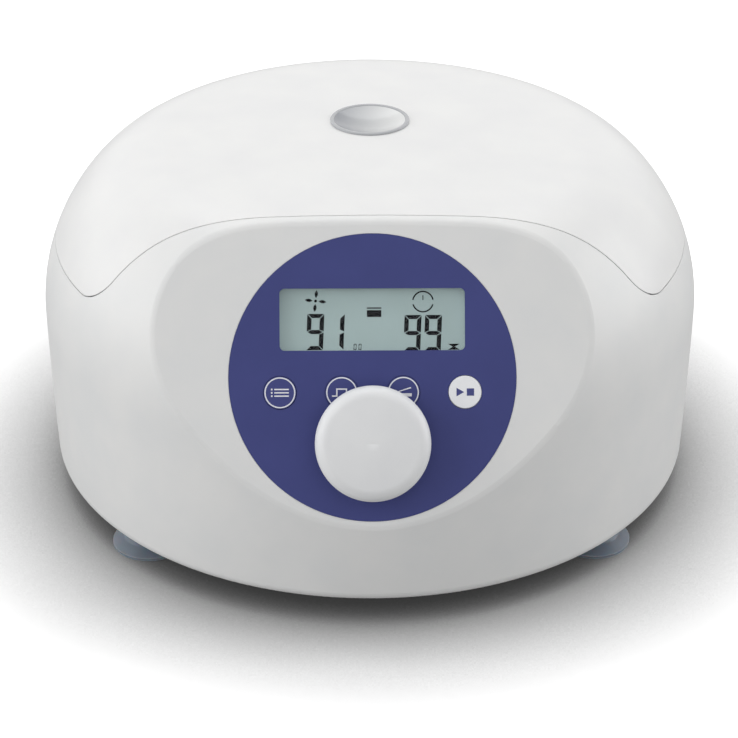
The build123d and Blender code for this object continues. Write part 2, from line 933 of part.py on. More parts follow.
def bearings():
    """Two ball bearings, drawn as closed rings."""
    bore = shaft_radius + running_gap
    return [
        tube(bearing_radius, bore, low, low + bearing_width, 0.0, axis_y)
        for low in (lower_bearing, upper_bearing)
    ]


def motor_stator():
    """Stator core with slots for its windings."""
    core = tube(can_radius - can_wall - seat_gap, stator_inner, core_low, core_high)
    low = stator_inner + tooth_wall
    slot = block(low, low + slot_depth, -slot_width / 2, slot_width / 2, 0.0, far)
    slot += block(stator_inner - 1.0, low + 1.0, -slot_mouth / 2, slot_mouth / 2, 0.0, far)
    for i in range(slot_count):
        core -= Rot(0, 0, 360 / slot_count * i) * slot
    return Pos(0, axis_y, 0) * core


def motor_magnet():
    """Magnet sleeve on the shaft, turning inside the stator."""
    bore = shaft_radius + seat_gap
    return tube(magnet_radius, bore, core_low, core_high, 0.0, axis_y)


def motor_mount_plate():
    """Steel plate that hangs the motor between four rubber dampers."""
    high = plate_bottom + plate_thickness
    plate = rod(plate_radius, plate_bottom, high, 0.0, axis_y)
    plate -= rod(bearing_radius + can_neck_wall + loose_gap, 0.0, high + 1.0, 0.0, axis_y)
    for x, y in motor_post_places:
        plate -= rod(screw_radius + screw_gap, 0.0, high + 1.0, x, y)
    for x, y in can_screw_places():
        plate -= rod(screw_radius + screw_gap, 0.0, high + 1.0, x, y + axis_y)
    return plate


def motor_dampers():
    """Rubber rings between the posts and the plate."""
    low = plate_bottom - damper_height
    inner = screw_radius + screw_gap
    return [tube(damper_radius, inner, low, plate_bottom, x, y) for x, y in motor_post_places]


def motor_screws():
    """Screws through the plate into the posts and into the motor's cover."""
    top = plate_bottom + plate_thickness + screw_head_height
    into_posts = screw_head_height + plate_thickness + damper_height + 8.0
    into_cover = screw_head_height + plate_thickness + can_cover
    screws = [
        Pos(x, y, top) * Rot(180, 0, 0) * screw(into_posts) for x, y in motor_post_places
    ]
    screws += [
        Pos(x, y + axis_y, top) * Rot(180, 0, 0) * screw(into_cover)
        for x, y in can_screw_places()
    ]
    return screws


def drive_shaft():
    """Motor shaft with a collar that seats the rotor and a spigot that centres it."""
    collar_low = rotor_bottom - collar_height
    spigot_top = rotor_bottom + spigot_height
    points = [
        (0.0, lower_bearing + 0.3),
        (shaft_radius, lower_bearing + 0.3),
        (shaft_radius, collar_low),
        (collar_radius, collar_low),
        (collar_radius, rotor_bottom),
        (spigot_radius, rotor_bottom),
        (spigot_radius, spigot_top),
        (shaft_radius, spigot_top),
        (shaft_radius, rotor_floor + nut_height - nut_cover),
        (0.0, rotor_floor + nut_height - nut_cover),
    ]
    return turned(points, 0.0, axis_y)


# Rotor

mouth_offset = rotor_bottom + socket_floor_wall + socket_reach - socket_ring
rotor_rim_height = rotor_rim_radius - rim_lip + mouth_offset
rotor_floor = rotor_hub_radius + mouth_offset


def tube_socket():
    """Straight bore and tapered end for one tube, mouth at zero, along -Z."""
    points = [
        (0.0, 12.0),
        (socket_radius, 12.0),
        (socket_radius, -socket_straight),
        (socket_tip_radius, -socket_straight - socket_taper),
        (0.0, -socket_straight - socket_taper),
    ]
    return turned(points)


def rotor():
    """Fixed-angle rotor: a dished disc with slanting tube sockets."""
    hub_foot = rotor_hub_radius + rotor_foot_step
    relief_out = rotor_radius - rotor_relief_inset
    points = [
        (0.0, rotor_bottom),
        (hub_foot, rotor_bottom),
        (hub_foot + rotor_foot_step, rotor_bottom + rotor_relief),
        (relief_out - rotor_foot_step, rotor_bottom + rotor_relief),
        (relief_out, rotor_bottom),
        (rotor_radius - rotor_skirt_round, rotor_bottom),
        (rotor_radius, rotor_bottom + rotor_skirt_round),
        (rotor_radius, rotor_bottom + rotor_skirt_height),
        (rotor_rim_radius + rim_chamfer, rotor_rim_height - rim_chamfer_height),
        (rotor_rim_radius, rotor_rim_height),
        (rotor_rim_radius - rim_lip, rotor_rim_height),
        (rotor_hub_radius, rotor_floor),
        (0.0, rotor_floor),
    ]
    body = turned(points)
    body -= rod(spigot_radius + seat_gap, 0.0, rotor_bottom + spigot_height + seat_gap)
    body -= rod(shaft_radius + screw_gap, 0.0, far)
    mouth = (socket_ring, 0.0, socket_ring + mouth_offset)
    socket = Pos(*mouth) * Rot(0.0, -socket_tilt, 0.0) * tube_socket()
    for i in range(socket_count):
        body -= Rot(0, 0, 360 / socket_count * i) * socket
    return Pos(0, axis_y, 0) * body


def rotor_nut():
    """Knurled nut that clamps the rotor on its shaft."""
    nut = rod(nut_radius, rotor_floor, rotor_floor + nut_height)
    nut = fillet(nut.edges().sort_by(Axis.Z)[-1], nut_round)
    groove = rod(nut_groove_radius, 0.0, far, nut_radius + nut_groove_radius / 3)
    for i in range(nut_groove_count):
        nut -= Rot(0, 0, 360 / nut_groove_count * i) * groove
    nut -= rod(shaft_radius + seat_gap, 0.0, rotor_floor + nut_height - nut_cover + screw_gap)
    return Pos(0, axis_y, 0) * nut


# Lid

liner_low = deck_top + liner_lift
liner_high = liner_low + liner_thickness
liner_front = -lid_front + seam_gap / 2 + lid_corner + loose_gap
lens_place = (0.0, axis_y)
bezel_top = crown(axis_y) + bezel_proud
pocket_radius = bowl_radius - pocket_inset
pocket_top = crown_height - pocket_drop


def liner_boss(x, y):
    """Boss under the crown for a liner screw."""
    post = rod(liner_boss_radius, liner_high, far, x, y) & drum(lid_wall / 2)
    return post - Pos(x, y, liner_high) * screw_hole(10.0)


def liner_boss_all():
    """The boss places on both sides."""
    ring = drum_radius - liner_boss_inset
    return [
        (side_sign * ring * cos(radians(a)), ring * sin(radians(a)))
        for a in liner_boss_angles
        for side_sign in (-1, 1)
    ]


def lid_shell():
    """The moulded lid: crown, sides and front wall, open below behind its corner."""
    outer = skin() & lid_zone(-seam_gap / 2)
    room = drum(lid_wall) - rear_cut(lid_wall)
    inner = room & lid_zone(-seam_gap / 2 - lid_wall)
    mouth = room & block(-far, far, liner_front - loose_gap, far, lid_bottom - 1, liner_high + 2.0)
    shell = outer - inner - mouth
    shell = fused([shell] + [liner_boss(x, y) for x, y in liner_boss_all()])
    hole = lens_radius + bezel_wall + screw_gap
    shell -= rod(hole, pocket_top, far, *lens_place)
    half = hook_thickness / 2 + 0.5
    shell -= block(-half, half, -hook_behind - hook_width / 2 - 0.5, liner_front,
                   lid_bottom - 1, liner_high + hook_foot_thickness + 2.5)
    for x, z in leaf_screw_places():
        shell -= Pos(x, rear_flat + 1.0, z) * Rot(90, 0, 0) * screw_hole(2.0 * lid_wall)
    return shell


def lid_liner():
    """Inner pan of the lid with a round pocket over the rotor."""
    plate = drum(lid_wall + loose_gap) - rear_cut(lid_wall + loose_gap)
    plate = plate & block(-far, far, liner_front, far, liner_low, liner_high)
    pocket = rod(pocket_radius + pocket_wall, liner_low, pocket_top, 0.0, axis_y)
    pocket = fillet(pocket.edges().sort_by(Axis.Z)[-1], pocket_round)
    room = rod(pocket_radius, 0.0, pocket_top - pocket_wall, 0.0, axis_y)
    room = fillet(room.edges().sort_by(Axis.Z)[-1], pocket_round - pocket_wall)
    liner = plate + pocket - room
    liner -= rod(lens_radius, 0.0, far, *lens_place)
    for x, y in liner_boss_all():
        liner -= Pos(x, y, liner_low) * screw_hole(liner_thickness + 2.0)
        liner -= rod(screw_head_radius + loose_gap, 0.0, liner_low + screw_seat, x, y)
    for x in (-hook_foot_width / 3, hook_foot_width / 3):
        liner -= Pos(x, hook_screw_y, liner_low) * screw_hole(liner_thickness + 2.0)
    return liner


hook_screw_y = liner_front + hook_foot_length / 3


def lens_bezel():
    """Ring in the crown that holds the inspection lens."""
    low = crown(axis_y) - bezel_depth
    flange_low = crown(axis_y) + bezel_flange_lift
    points = [
        (lens_radius, low + bezel_seat),
        (lens_radius - lens_lip, low + bezel_seat),
        (lens_radius - lens_lip, low),
        (lens_radius + bezel_wall, low),
        (lens_radius + bezel_wall, flange_low),
        (bezel_radius, flange_low),
        (bezel_radius, bezel_top - bezel_edge),
        (bezel_radius - bezel_edge, bezel_top),
        (lens_radius + bezel_edge, bezel_top),
        (lens_radius, bezel_top - bezel_edge),
    ]
    return turned(points, *lens_place)


def inspection_lens():
    """Tinted window with a shallow dish in its top."""
    seat = crown(axis_y) - bezel_depth + bezel_seat
    high = bezel_top - lens_sink
    edge = lens_radius - seat_gap
    dish_radius = (edge**2 + lens_dish**2) / (2 * lens_dish)
    lens = rod(edge, seat, high)
    lens -= Pos(0, 0, high - lens_dish + dish_radius) * Sphere(dish_radius)
    lens -= rod(edge - lens_lip, 0.0, high - lens_dish - lens_thickness)
    return Pos(*lens_place, 0.0) * lens


def lid_hook():
    """Hook blade under the lid's front, with an eye for the lock bolt."""
    half = hook_thickness / 2
    front = -hook_behind - hook_width / 2
    back = -hook_behind + hook_width / 2
    foot_back = liner_front + hook_foot_length
    high = liner_high + hook_foot_thickness
    blade = block(-half, half, front, back, hook_bottom, high)
    neck = block(-half, half, back, liner_front + 1.0, liner_high, high)
    plate = block(-hook_foot_width / 2, hook_foot_width / 2, liner_front, foot_back, liner_high, high)
    hook = blade + neck + plate
    eye = Pos(0, -hook_behind, hook_eye_height) * Rot(0, 90, 0)
    hook -= eye * Cylinder(hook_eye_radius, far)
    for x in (-hook_foot_width / 3, hook_foot_width / 3):
        hook -= Pos(x, hook_screw_y, liner_low) * screw_hole(far)
    return hook


def lid_screws():
    """Screws of the liner, the hook and the hinge leaf."""
    low = liner_low + screw_seat - screw_head_height
    screws = [Pos(x, y, low) * screw(10.0) for x, y in liner_boss_all()]
    top = liner_high + hook_foot_thickness + screw_head_height
    for x in (-hook_foot_width / 3, hook_foot_width / 3):
        length = screw_head_height + hook_foot_thickness + liner_thickness - 0.3
        screws.append(Pos(x, hook_screw_y, top) * Rot(180, 0, 0) * screw(length))
    face = rear_flat + hinge_plate_thickness + screw_head_height
    for x, z in leaf_screw_places():
        length = screw_head_height + hinge_plate_thickness + lid_wall + 1.0
        screws.append(Pos(x, face, z) * Rot(90, 0, 0) * screw(length))
    return screws


# Lid hinge

def leaf_screw_places():
    """Where the hinge leaf is screwed to the lid's back."""
    height = leaf_top - leaf_screw_drop
    x = leaf_half_width - leaf_screw_edge
    return [(-x, height), (x, height)]


def knuckle(x0, x1):
    """Hinge barrel about the hinge axis."""
    barrel = Rot(0, 90, 0) * Cylinder(knuckle_radius, x1 - x0)
    return Pos((x0 + x1) / 2, hinge_axis_back, hinge_axis_height) * barrel


def pin_bore(gap):
    """Bore for the hinge pin."""
    bore = Rot(0, 90, 0) * Cylinder(hinge_pin_radius + gap, far)
    return Pos(0, hinge_axis_back, hinge_axis_height) * bore


def web(x0, x1, points):
    """Flat web between two places along X, from (y, z) points."""
    corners = [(x0, y, z) for y, z in points]
    outline = make_face(Polyline(*corners, close=True).edges())
    return extrude(outline, x1 - x0, dir=(1, 0, 0))


def hinge_bracket():
    """Plate on the housing's back with two outer knuckles."""
    face = rear_flat + hinge_plate_thickness
    plate = block(-hinge_half_width, hinge_half_width, rear_flat, face, bracket_bottom, deck_bottom)
    inner = leaf_half_width + loose_gap
    outline = [
        (rear_flat, deck_bottom - bracket_ear_height),
        (hinge_axis_back + knuckle_radius * 0.6, hinge_axis_height - knuckle_radius * 0.8),
        (hinge_axis_back, hinge_axis_height),
        (rear_flat, deck_bottom),
    ]
    ears = []
    for x0, x1 in ((-hinge_half_width, -inner), (inner, hinge_half_width)):
        ears += [knuckle(x0, x1), web(x0, x1, outline)]
    bracket = fused([plate] + ears) - pin_bore(seat_gap)
    for x, z in bracket_screw_places():
        bracket -= Pos(x, face, z) * Rot(90, 0, 0) * screw_hole(2.0 * hinge_plate_thickness)
    return bracket


def hinge_pin():
    """Steel pin through all the knuckles."""
    pin = Rot(0, 90, 0) * Cylinder(hinge_pin_radius, 2 * hinge_half_width)
    return Pos(0, hinge_axis_back, hinge_axis_height) * pin


def lid_hinge_leaf():
    """Plate on the lid's back with the middle knuckle."""
    low = lid_bottom + leaf_lift
    face = rear_flat + hinge_plate_thickness
    plate = block(-leaf_half_width, leaf_half_width, rear_flat, face, low, leaf_top)
    outline = [
        (rear_flat, low),
        (hinge_axis_back, hinge_axis_height),
        (hinge_axis_back + knuckle_radius * 0.6, hinge_axis_height + knuckle_radius * 0.8),
        (rear_flat + 1.0, leaf_top - leaf_web_drop),
    ]
    narrow = leaf_half_width - leaf_web_inset
    leaf = plate + web(-narrow, narrow, outline) + knuckle(-leaf_half_width, leaf_half_width)
    leaf -= pin_bore(running_gap)
    for x, z in leaf_screw_places():
        leaf -= Pos(x, face, z) * Rot(90, 0, 0) * screw_hole(2.0 * hinge_plate_thickness)
    return leaf


def hinge_screws():
    """Screws through the bracket into the housing's back."""
    face = rear_flat + hinge_plate_thickness + screw_head_height
    length = screw_head_height + hinge_plate_thickness + housing_wall + 1.5
    return [Pos(x, face, z) * Rot(90, 0, 0) * screw(length) for x, z in bracket_screw_places()]


# Lock

lock_left = hook_thickness / 2 + bolt_clear


def bolt_axis(length, radius, start):
    """Cylinder along X on the bolt's axis."""
    rolled = Rot(0, 90, 0) * Cylinder(radius, length)
    return Pos(start + length / 2, -hook_behind, hook_eye_height) * rolled


def lock_body():
    """Solenoid lock that hangs under the deck beside the hook."""
    half = lock_depth / 2
    low = hook_eye_height - lock_depth / 2
    case = block(lock_left, lock_left + lock_length, -hook_behind - half, -hook_behind + half,
                 low, deck_bottom)
    bore = bolt_axis(lock_length - lock_end_wall + 1.0, bolt_radius + running_gap, lock_left - 1.0)
    return case - bore


def lock_bolt():
    """Bolt that slides through the hook's eye."""
    return bolt_axis(lock_length - bolt_short, bolt_radius, lock_left - bolt_proud)


def lid_sensor():
    """Small switch under the deck, worked by the hook."""
    half = sensor_depth / 2
    right = -hook_slot_half - sensor_gap
    low = deck_bottom - sensor_height
    case = block(right - sensor_length, right, -hook_behind - half, -hook_behind + half,
                 low, deck_bottom)
    half = sensor_lever_width / 2
    lever = block(right - sensor_lever, right + sensor_lever_reach, -hook_behind - half,
                  -hook_behind + half, low - sensor_lever_drop, low)
    return case + lever


# Mains inlet and switch

def inlet_recess():
    """The socket that takes a mains lead, with its two top corners cut."""
    half = recess_width / 2
    low = inlet_height + recess_lift - recess_tall / 2
    high = low + recess_tall
    cut = recess_tall / 4
    points = [
        (inlet_x - half, low),
        (inlet_x + half, low),
        (inlet_x + half, high - cut),
        (inlet_x + half - cut, high),
        (inlet_x - half + cut, high),
        (inlet_x - half, high - cut),
    ]
    mouth = rear_flat + inlet_flange
    corners = [(x, mouth - recess_depth, z) for x, z in points]
    outline = make_face(Polyline(*corners, close=True).edges())
    return extrude(outline, recess_depth + 1.0, dir=(0, 1, 0))


def drawer_box(gap):
    """The room of the fuse drawer, or the drawer with a gap around it."""
    half_w = drawer_width / 2 - gap
    half_t = drawer_tall / 2 - gap
    z = inlet_height - drawer_drop
    high = rear_flat + inlet_flange
    low = high - drawer_depth + gap
    return block(inlet_x - half_w, inlet_x + half_w, low, high + 1.0 - gap, z - half_t, z + half_t)


def mains_inlet():
    """Panel inlet with a flange outside, and a slot for the fuse drawer."""
    half_w = inlet_width / 2
    half_t = inlet_tall / 2
    body = block(inlet_x - half_w, inlet_x + half_w, rear_flat - inlet_depth, rear_flat + 0.5,
                 inlet_height - half_t, inlet_height + half_t)
    half_w += inlet_flange_margin
    half_t += inlet_flange_margin
    flange = block(inlet_x - half_w, inlet_x + half_w, rear_flat, rear_flat + inlet_flange,
                   inlet_height - half_t, inlet_height + half_t)
    flange = fillet(flange.edges().filter_by(Axis.Y), 2.0)
    return body + flange - inlet_recess() - drawer_box(0.0)


pin_places = [
    (inlet_x - pin_spread, inlet_height + recess_lift - 2.0),
    (inlet_x, inlet_height + recess_lift + 2.0),
    (inlet_x + pin_spread, inlet_height + recess_lift - 2.0),
]


def inlet_pins():
    """Three contact blades in the recess and their tails behind the inlet."""
    blades = []
    floor = rear_flat + inlet_flange - recess_depth
    back = rear_flat - inlet_depth
    half_w = pin_width / 2
    half_t = pin_tall / 2
    for x, z in pin_places:
        limits = (z - half_t, z + half_t)
        blades.append(block(x - half_w, x + half_w, floor, floor + pin_length, *limits))
        blades.append(block(x - half_w, x + half_w, back - pin_tail, back, *limits))
    return blades


def fuse_drawer():
    """Drawer under the socket that holds the fuse, with a grip edge."""
    z = inlet_height - drawer_drop
    drawer = drawer_box(drawer_gap)
    high = rear_flat + inlet_flange
    half = drawer_width / 2 - drawer_wall
    room = block(inlet_x - half, inlet_x + half, high - drawer_depth + drawer_back,
                 high - drawer_front, z - fuse_radius - fuse_gap, far)
    half = grip_width / 2
    grip = block(inlet_x - half, inlet_x + half, high, high + grip_reach,
                 z - grip_low, z - grip_high)
    return drawer - room + grip


def fuse():
    """Glass fuse lying across the drawer."""
    high = rear_flat + inlet_flange
    z = inlet_height - drawer_drop
    length = drawer_width - 2 * drawer_wall - 2 * fuse_gap
    cartridge = Rot(0, 90, 0) * Cylinder(fuse_radius - fuse_gap, length)
    return Pos(inlet_x, high - drawer_depth / 2 - drawer_back, z) * cartridge


rocker_y = rear_flat - rocker_sink
rocker_half_tall = switch_tall / 2 - switch_wall - rocker_end_gap
rocker_half_wide = switch_width / 2 - switch_wall - rocker_side_gap


def switch_frame():
    """Snap-in frame of the mains switch."""
    half_w = switch_width / 2
    half_t = switch_tall / 2
    body = block(switch_x - half_w, switch_x + half_w, rear_flat - switch_depth, rear_flat + 0.5,
                 switch_height - half_t, switch_height + half_t)
    out_w = half_w + switch_flange
    out_t = half_t + switch_flange
    flange = block(switch_x - out_w, switch_x + out_w, rear_flat, rear_flat + switch_bezel,
                   switch_height - out_t, switch_height + out_t)
    flange = fillet(flange.edges().filter_by(Axis.Y), 1.0)
    inner_w = half_w - switch_wall
    inner_t = half_t - switch_wall
    room = block(switch_x - inner_w, switch_x + inner_w, rocker_y - rocker_thickness,
                 far, switch_height - inner_t, switch_height + inner_t)
    axle_length = 2 * (inner_w + rocker_axle_end + screw_gap)
    axle = Rot(0, 90, 0) * Cylinder(rocker_axle_radius + running_gap, axle_length)
    back = rear_flat - switch_depth
    half_w = terminal_width / 2
    half_t = terminal_tall / 2
    terminals = [
        block(switch_x + dx - half_w, switch_x + dx + half_w, back - terminal_length, back,
              switch_height - half_t, switch_height + half_t)
        for dx in (-terminal_spread, terminal_spread)
    ]
    frame = body + flange - room - Pos(switch_x, rocker_y, switch_height) * axle
    return fused([frame] + terminals)


def switch_rocker():
    """Rocker with a shallow V face, drawn in its off position."""
    half_t = rocker_half_tall
    half_w = rocker_half_wide
    swing = rocker_swing / 2
    rise = half_t * sin(radians(swing))
    points = [
        (-rocker_thickness / 2, -half_t * 0.6),
        (rocker_thickness / 2 + rise, -half_t),
        (rocker_thickness / 2, 0.0),
        (rocker_thickness / 2 + rise, half_t),
        (-rocker_thickness / 2, half_t * 0.6),
    ]
    rocker = web(-half_w, half_w, points)
    axle_length = 2 * (half_w + rocker_side_gap + rocker_axle_end)
    axle = Rot(0, 90, 0) * Cylinder(rocker_axle_radius, axle_length)
    tilted = Rot(swing, 0, 0) * (rocker + axle)
    return Pos(switch_x, rocker_y, switch_height) * tilted


# Power board

def power_board_places():
    """The power board's four posts."""
    x = power_board_width / 2 - power_board_corner
    return [
        (sign * x, y)
        for sign in (-1, 1)
        for y in (power_board_front + power_board_corner, power_board_back - power_board_corner)
    ]


def power_board():
    """Circuit board on the base posts, behind the motor."""
    half = power_board_width / 2
    sheet = block(-half, half, power_board_front, power_board_back, power_board_height,
                  power_board_top)
    for x, y in power_board_places():
        sheet -= rod(screw_radius + screw_gap, 0.0, far, x, y)
    return sheet


def power_board_screws():
    """Screws down into the board's posts."""
    top = power_board_top + screw_head_height
    return [Pos(x, y, top) * Rot(180, 0, 0) * screw(7.0) for x, y in power_board_places()]


def transformer():
    """Wound supply transformer."""
    half = transformer_width / 2
    front = power_board_front + transformer_front
    back = front + transformer_depth
    high = power_board_top + part_height
    core = block(transformer_x - half, transformer_x + half, front, back, power_board_top, high)
    half -= coil_inset
    coil = block(transformer_x - half, transformer_x + half, front - coil_overhang,
                 back + coil_overhang, power_board_top + coil_step, high - coil_step)
    return core + fillet(coil.edges().filter_by(Axis.X), coil_step)


def capacitors():
    """Two upright smoothing capacitors."""
    y = power_board_front + capacitor_front
    high = power_board_top + part_height
    cans = [
        rod(capacitor_radius, power_board_top, high, capacitor_x + side_step, y)
        for side_step in (-capacitor_pitch / 2, capacitor_pitch / 2)
    ]
    return [fillet(can.edges().sort_by(Axis.Z)[-1], capacitor_round) for can in cans]


def heat_sink():
    """Finned heat sink for the motor driver."""
    front = power_board_front + sink_front
    back = front + sink_depth
    low = power_board_top
    base = block(-sink_width / 2, sink_width / 2, front, back, low, low + sink_base)
    pitch = (sink_width - fin_thickness) / (fin_count - 1)
    half = fin_thickness / 2
    fins = []
    for i in range(fin_count):
        x = (i - (fin_count - 1) / 2) * pitch
        fins.append(block(x - half, x + half, front, back, low + 1.0, low + sink_height))
    return fused([base] + fins)


plug_front = power_board_front + plug_setback


def connectors():
    """Sockets of the ribbon at both ends and of the motor lead."""
    low = power_board_top
    high = low + plug_height
    half = ribbon_plug_width / 2
    ribbon = block(-half, half, plug_front, plug_front + ribbon_plug_depth, low, high)
    display = block(-half, half, -ribbon_plug_depth / 2, ribbon_plug_depth / 2,
                    board_back - display_plug_thickness, board_back)
    half = lead_plug_width / 2
    motor = block(lead_x - half, lead_x + half, plug_front, plug_front + lead_plug_depth, low, high)
    return [ribbon, motor, on_facet(display, 0.0, ribbon_rise)]


ribbon_rise = panel_board_low + ribbon_rise_step


def facet_point(rise, proud):
    """Height and depth of a point on the middle line of the facet."""
    tilt = radians(facet_tilt)
    y = facet_foot[1] + rise * sin(tilt) - proud * cos(tilt)
    z = facet_foot[2] + rise * cos(tilt) + proud * sin(tilt)
    return y, z


def swept(section, route, radii):
    """A section carried along straight runs and arcs in a plane along Y and Z."""
    path = FilletPolyline(*route, radius=radii)
    start = Plane(origin=path @ 0, x_dir=(1, 0, 0), z_dir=path % 0)
    return sweep(start.location * section, path=path)


def ribbon_cable():
    """Flat cable from the display board, under the motor, to the power board."""
    start = board_back - display_plug_thickness
    y0, z0 = facet_point(ribbon_rise, start)
    y1, z1 = facet_point(ribbon_rise, start - ribbon_drop)
    floor = pan_top + ribbon_floor_gap + ribbon_thickness / 2
    rise_y = plug_front - ribbon_end_run
    end_z = power_board_top + plug_height / 2
    route = [
        (0, y0, z0),
        (0, y1, z1),
        (0, y1 + ribbon_slant, floor),
        (0, rise_y, floor),
        (0, rise_y, end_z),
        (0, plug_front, end_z),
    ]
    section = Rectangle(ribbon_width, ribbon_thickness)
    return swept(section, route, ribbon_bends)


def motor_lead():
    """Short lead from the motor's side to the power board."""
    z = power_board_top + plug_height / 2
    side_y = axis_y + sqrt(can_radius**2 - lead_x**2) - 2 * lead_radius
    lead = Rot(90, 0, 0) * Cylinder(lead_radius, plug_front - side_y)
    lead = Pos(lead_x, (plug_front + side_y) / 2, z) * lead
    return lead - rod(can_radius, 0.0, far, 0.0, axis_y)


def wire(x, y, z, out):
    """Wire from a terminal, forwards and down to the power board."""
    route = [(x, y, z), (x, y - out, z), (x, y - out, power_board_top)]
    return swept(Circle(wire_radius), route, [out * wire_bend_share])


def mains_wires():
    """Wires of the inlet and of the switch."""
    tails = rear_flat - inlet_depth - pin_tail
    wires = [wire(x, tails, z, inlet_wire_run) for x, z in pin_places]
    back = rear_flat - switch_depth - terminal_length
    wires += [
        wire(switch_x + dx, back, switch_height, switch_wire_run)
        for dx in (-terminal_spread, terminal_spread)
    ]
    return wires


# The whole instrument

nodes = {
    "main_housing": main_housing(),
    "base_pan": base_pan(),
    "base_screws": group(base_screws()),
    "panel_overlay": panel_overlay(),
    "display_window": display_window(),
    "lcd_module": lcd_module(),
    "display_board": display_board(),
    "key_switches": group(key_switches()),
    "encoder_body": encoder_body(),
    "board_screws": group(display_board_screws() + power_board_screws()),
    "chamber_bowl": chamber_bowl(),
    "motor_can": motor_can(),
    "motor_stator": motor_stator(),
    "motor_bearings": group(bearings()),
    "motor_mount_plate": motor_mount_plate(),
    "motor_dampers": group(motor_dampers()),
    "motor_screws": group(motor_screws()),
    "power_board": power_board(),
    "transformer": transformer(),
    "capacitors": group(capacitors()),
    "heat_sink": heat_sink(),
    "connectors": group(connectors()),
    "ribbon_cable": ribbon_cable(),
    "motor_lead": motor_lead(),
    "mains_wires": group(mains_wires()),
    "mains_inlet": mains_inlet(),
    "inlet_pins": group(inlet_pins()),
    "fuse_drawer": fuse_drawer(),
    "fuse": fuse(),
    "switch_frame": switch_frame(),
    "hinge_bracket": hinge_bracket(),
    "hinge_pin": hinge_pin(),
    "hinge_screws": group(hinge_screws()),
    "lock_body": lock_body(),
    "lid_sensor": lid_sensor(),
    "lid_shell": lid_shell(),
    "lid_liner": lid_liner(),
    "chamber_seal": chamber_seal(),
    "lens_bezel": lens_bezel(),
    "inspection_lens": inspection_lens(),
    "lid_hook": lid_hook(),
    "lid_hinge_leaf": lid_hinge_leaf(),
    "lid_screws": group(lid_screws()),
    "rotor": rotor(),
    "rotor_nut": rotor_nut(),
    "drive_shaft": drive_shaft(),
    "motor_magnet": motor_magnet(),
    "control_knob": control_knob(),
    "encoder_shaft": encoder_shaft(),
    "lock_bolt": lock_bolt(),
    "switch_rocker": switch_rocker(),
}
for name, x in zip(("key_program", "key_pulse", "key_lid_release", "key_start_stop"), key_xs):
    nodes[name] = key(x)
for name, (x, y) in foot_places.items():
    nodes[name] = foot(x, y)

# The knob reaches furthest forwards and the hinge furthest back
front_reach = min(shape.bounding_box().min.Y for shape in nodes.values())
back_reach = max(shape.bounding_box().max.Y for shape in nodes.values())
drum_y = -(front_reach + back_reach) / 2

for name, shape in nodes.items():
    export_step(Pos(0, drum_y, 0) * shape, f"parts/{name}.step")

print("drum axis at y", round(drum_y, 3), "rotor axis at y", round(drum_y + axis_y, 3))
print("facet foot at y", round(drum_y + facet_foot[1], 3), "z", round(facet_foot[2], 3))
print("hinge axis at y", round(drum_y + hinge_axis_back, 3), "z", hinge_axis_height)
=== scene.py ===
import json
from math import cos, pi, radians, sin, tan

import bpy
import numpy as np
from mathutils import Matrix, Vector

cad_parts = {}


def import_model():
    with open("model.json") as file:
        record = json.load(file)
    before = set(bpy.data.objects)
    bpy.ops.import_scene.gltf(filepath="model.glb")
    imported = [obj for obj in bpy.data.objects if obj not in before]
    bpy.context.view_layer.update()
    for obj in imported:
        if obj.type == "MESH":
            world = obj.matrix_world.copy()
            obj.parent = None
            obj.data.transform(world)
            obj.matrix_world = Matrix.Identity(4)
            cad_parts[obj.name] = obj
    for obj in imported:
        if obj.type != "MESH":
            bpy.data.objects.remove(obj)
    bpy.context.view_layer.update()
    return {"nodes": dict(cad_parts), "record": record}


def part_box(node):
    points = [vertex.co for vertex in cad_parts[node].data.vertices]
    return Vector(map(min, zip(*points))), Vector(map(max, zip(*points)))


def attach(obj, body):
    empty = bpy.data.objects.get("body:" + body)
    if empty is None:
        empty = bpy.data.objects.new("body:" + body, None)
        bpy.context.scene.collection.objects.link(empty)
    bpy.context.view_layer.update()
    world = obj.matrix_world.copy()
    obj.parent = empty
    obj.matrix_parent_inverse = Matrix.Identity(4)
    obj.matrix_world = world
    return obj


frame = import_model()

MM = 0.001

# The slanted panel, whose plane comes from the knob's joint. Sizes on it are in millimetres
joints = {joint["name"]: joint for joint in frame["record"]["behaviour"]["joints"]}
panel_right = np.array([1.0, 0.0, 0.0])
panel_out = np.array(joints["knob_turn"]["axis"])
panel_up = np.cross(panel_out, panel_right)
knob_rise = 26.0
panel_foot = np.array(joints["knob_turn"]["pos_m"]) - knob_rise * MM * panel_up
rotor_axis = np.array(joints["rotor_spin"]["pos_m"])

# How far below its highest point a piece's face still counts as its top
face_band = 0.05

# Printed marks
print_thickness = 0.03
segment_height = 0.01
ring_outer = 4.66
ring_line = 0.37
sign_rows = (-1.0, 0.0, 1.0)
row_half = 0.2
dot_half = 0.25

# Digits of the display: cell, strokes and slant
digit_width = 5.15
digit_height = 10.97
digit_pitch = 6.2
stroke_width = 1.34
stroke_height = 1.25
stroke_gap = 0.14
digit_slant = tan(radians(2.5))
small_scale = 0.17
small_pitch = 1.5

# Places on the display, about the middle of its window
digit_rows = (("91", -19.6, 1.8), ("99", 9.85, 1.36))
small_row = ("00", -5.6, -7.3)
fan_x = -17.1
fan_y = 5.7
fan_turn = radians(-6.0)
blade_start = 0.9
blade_tip = 3.3
blade_half = 0.5
hub_radius = 0.45
dial_x = 15.4
dial_y = 5.4
dial_inner = 2.86
dial_outer = 3.3
bar_left = -1.6
bar_right = 2.8
arrow_left = 22.9
arrow_middle = 24.7
arrow_right = 26.5


# Mesh helpers

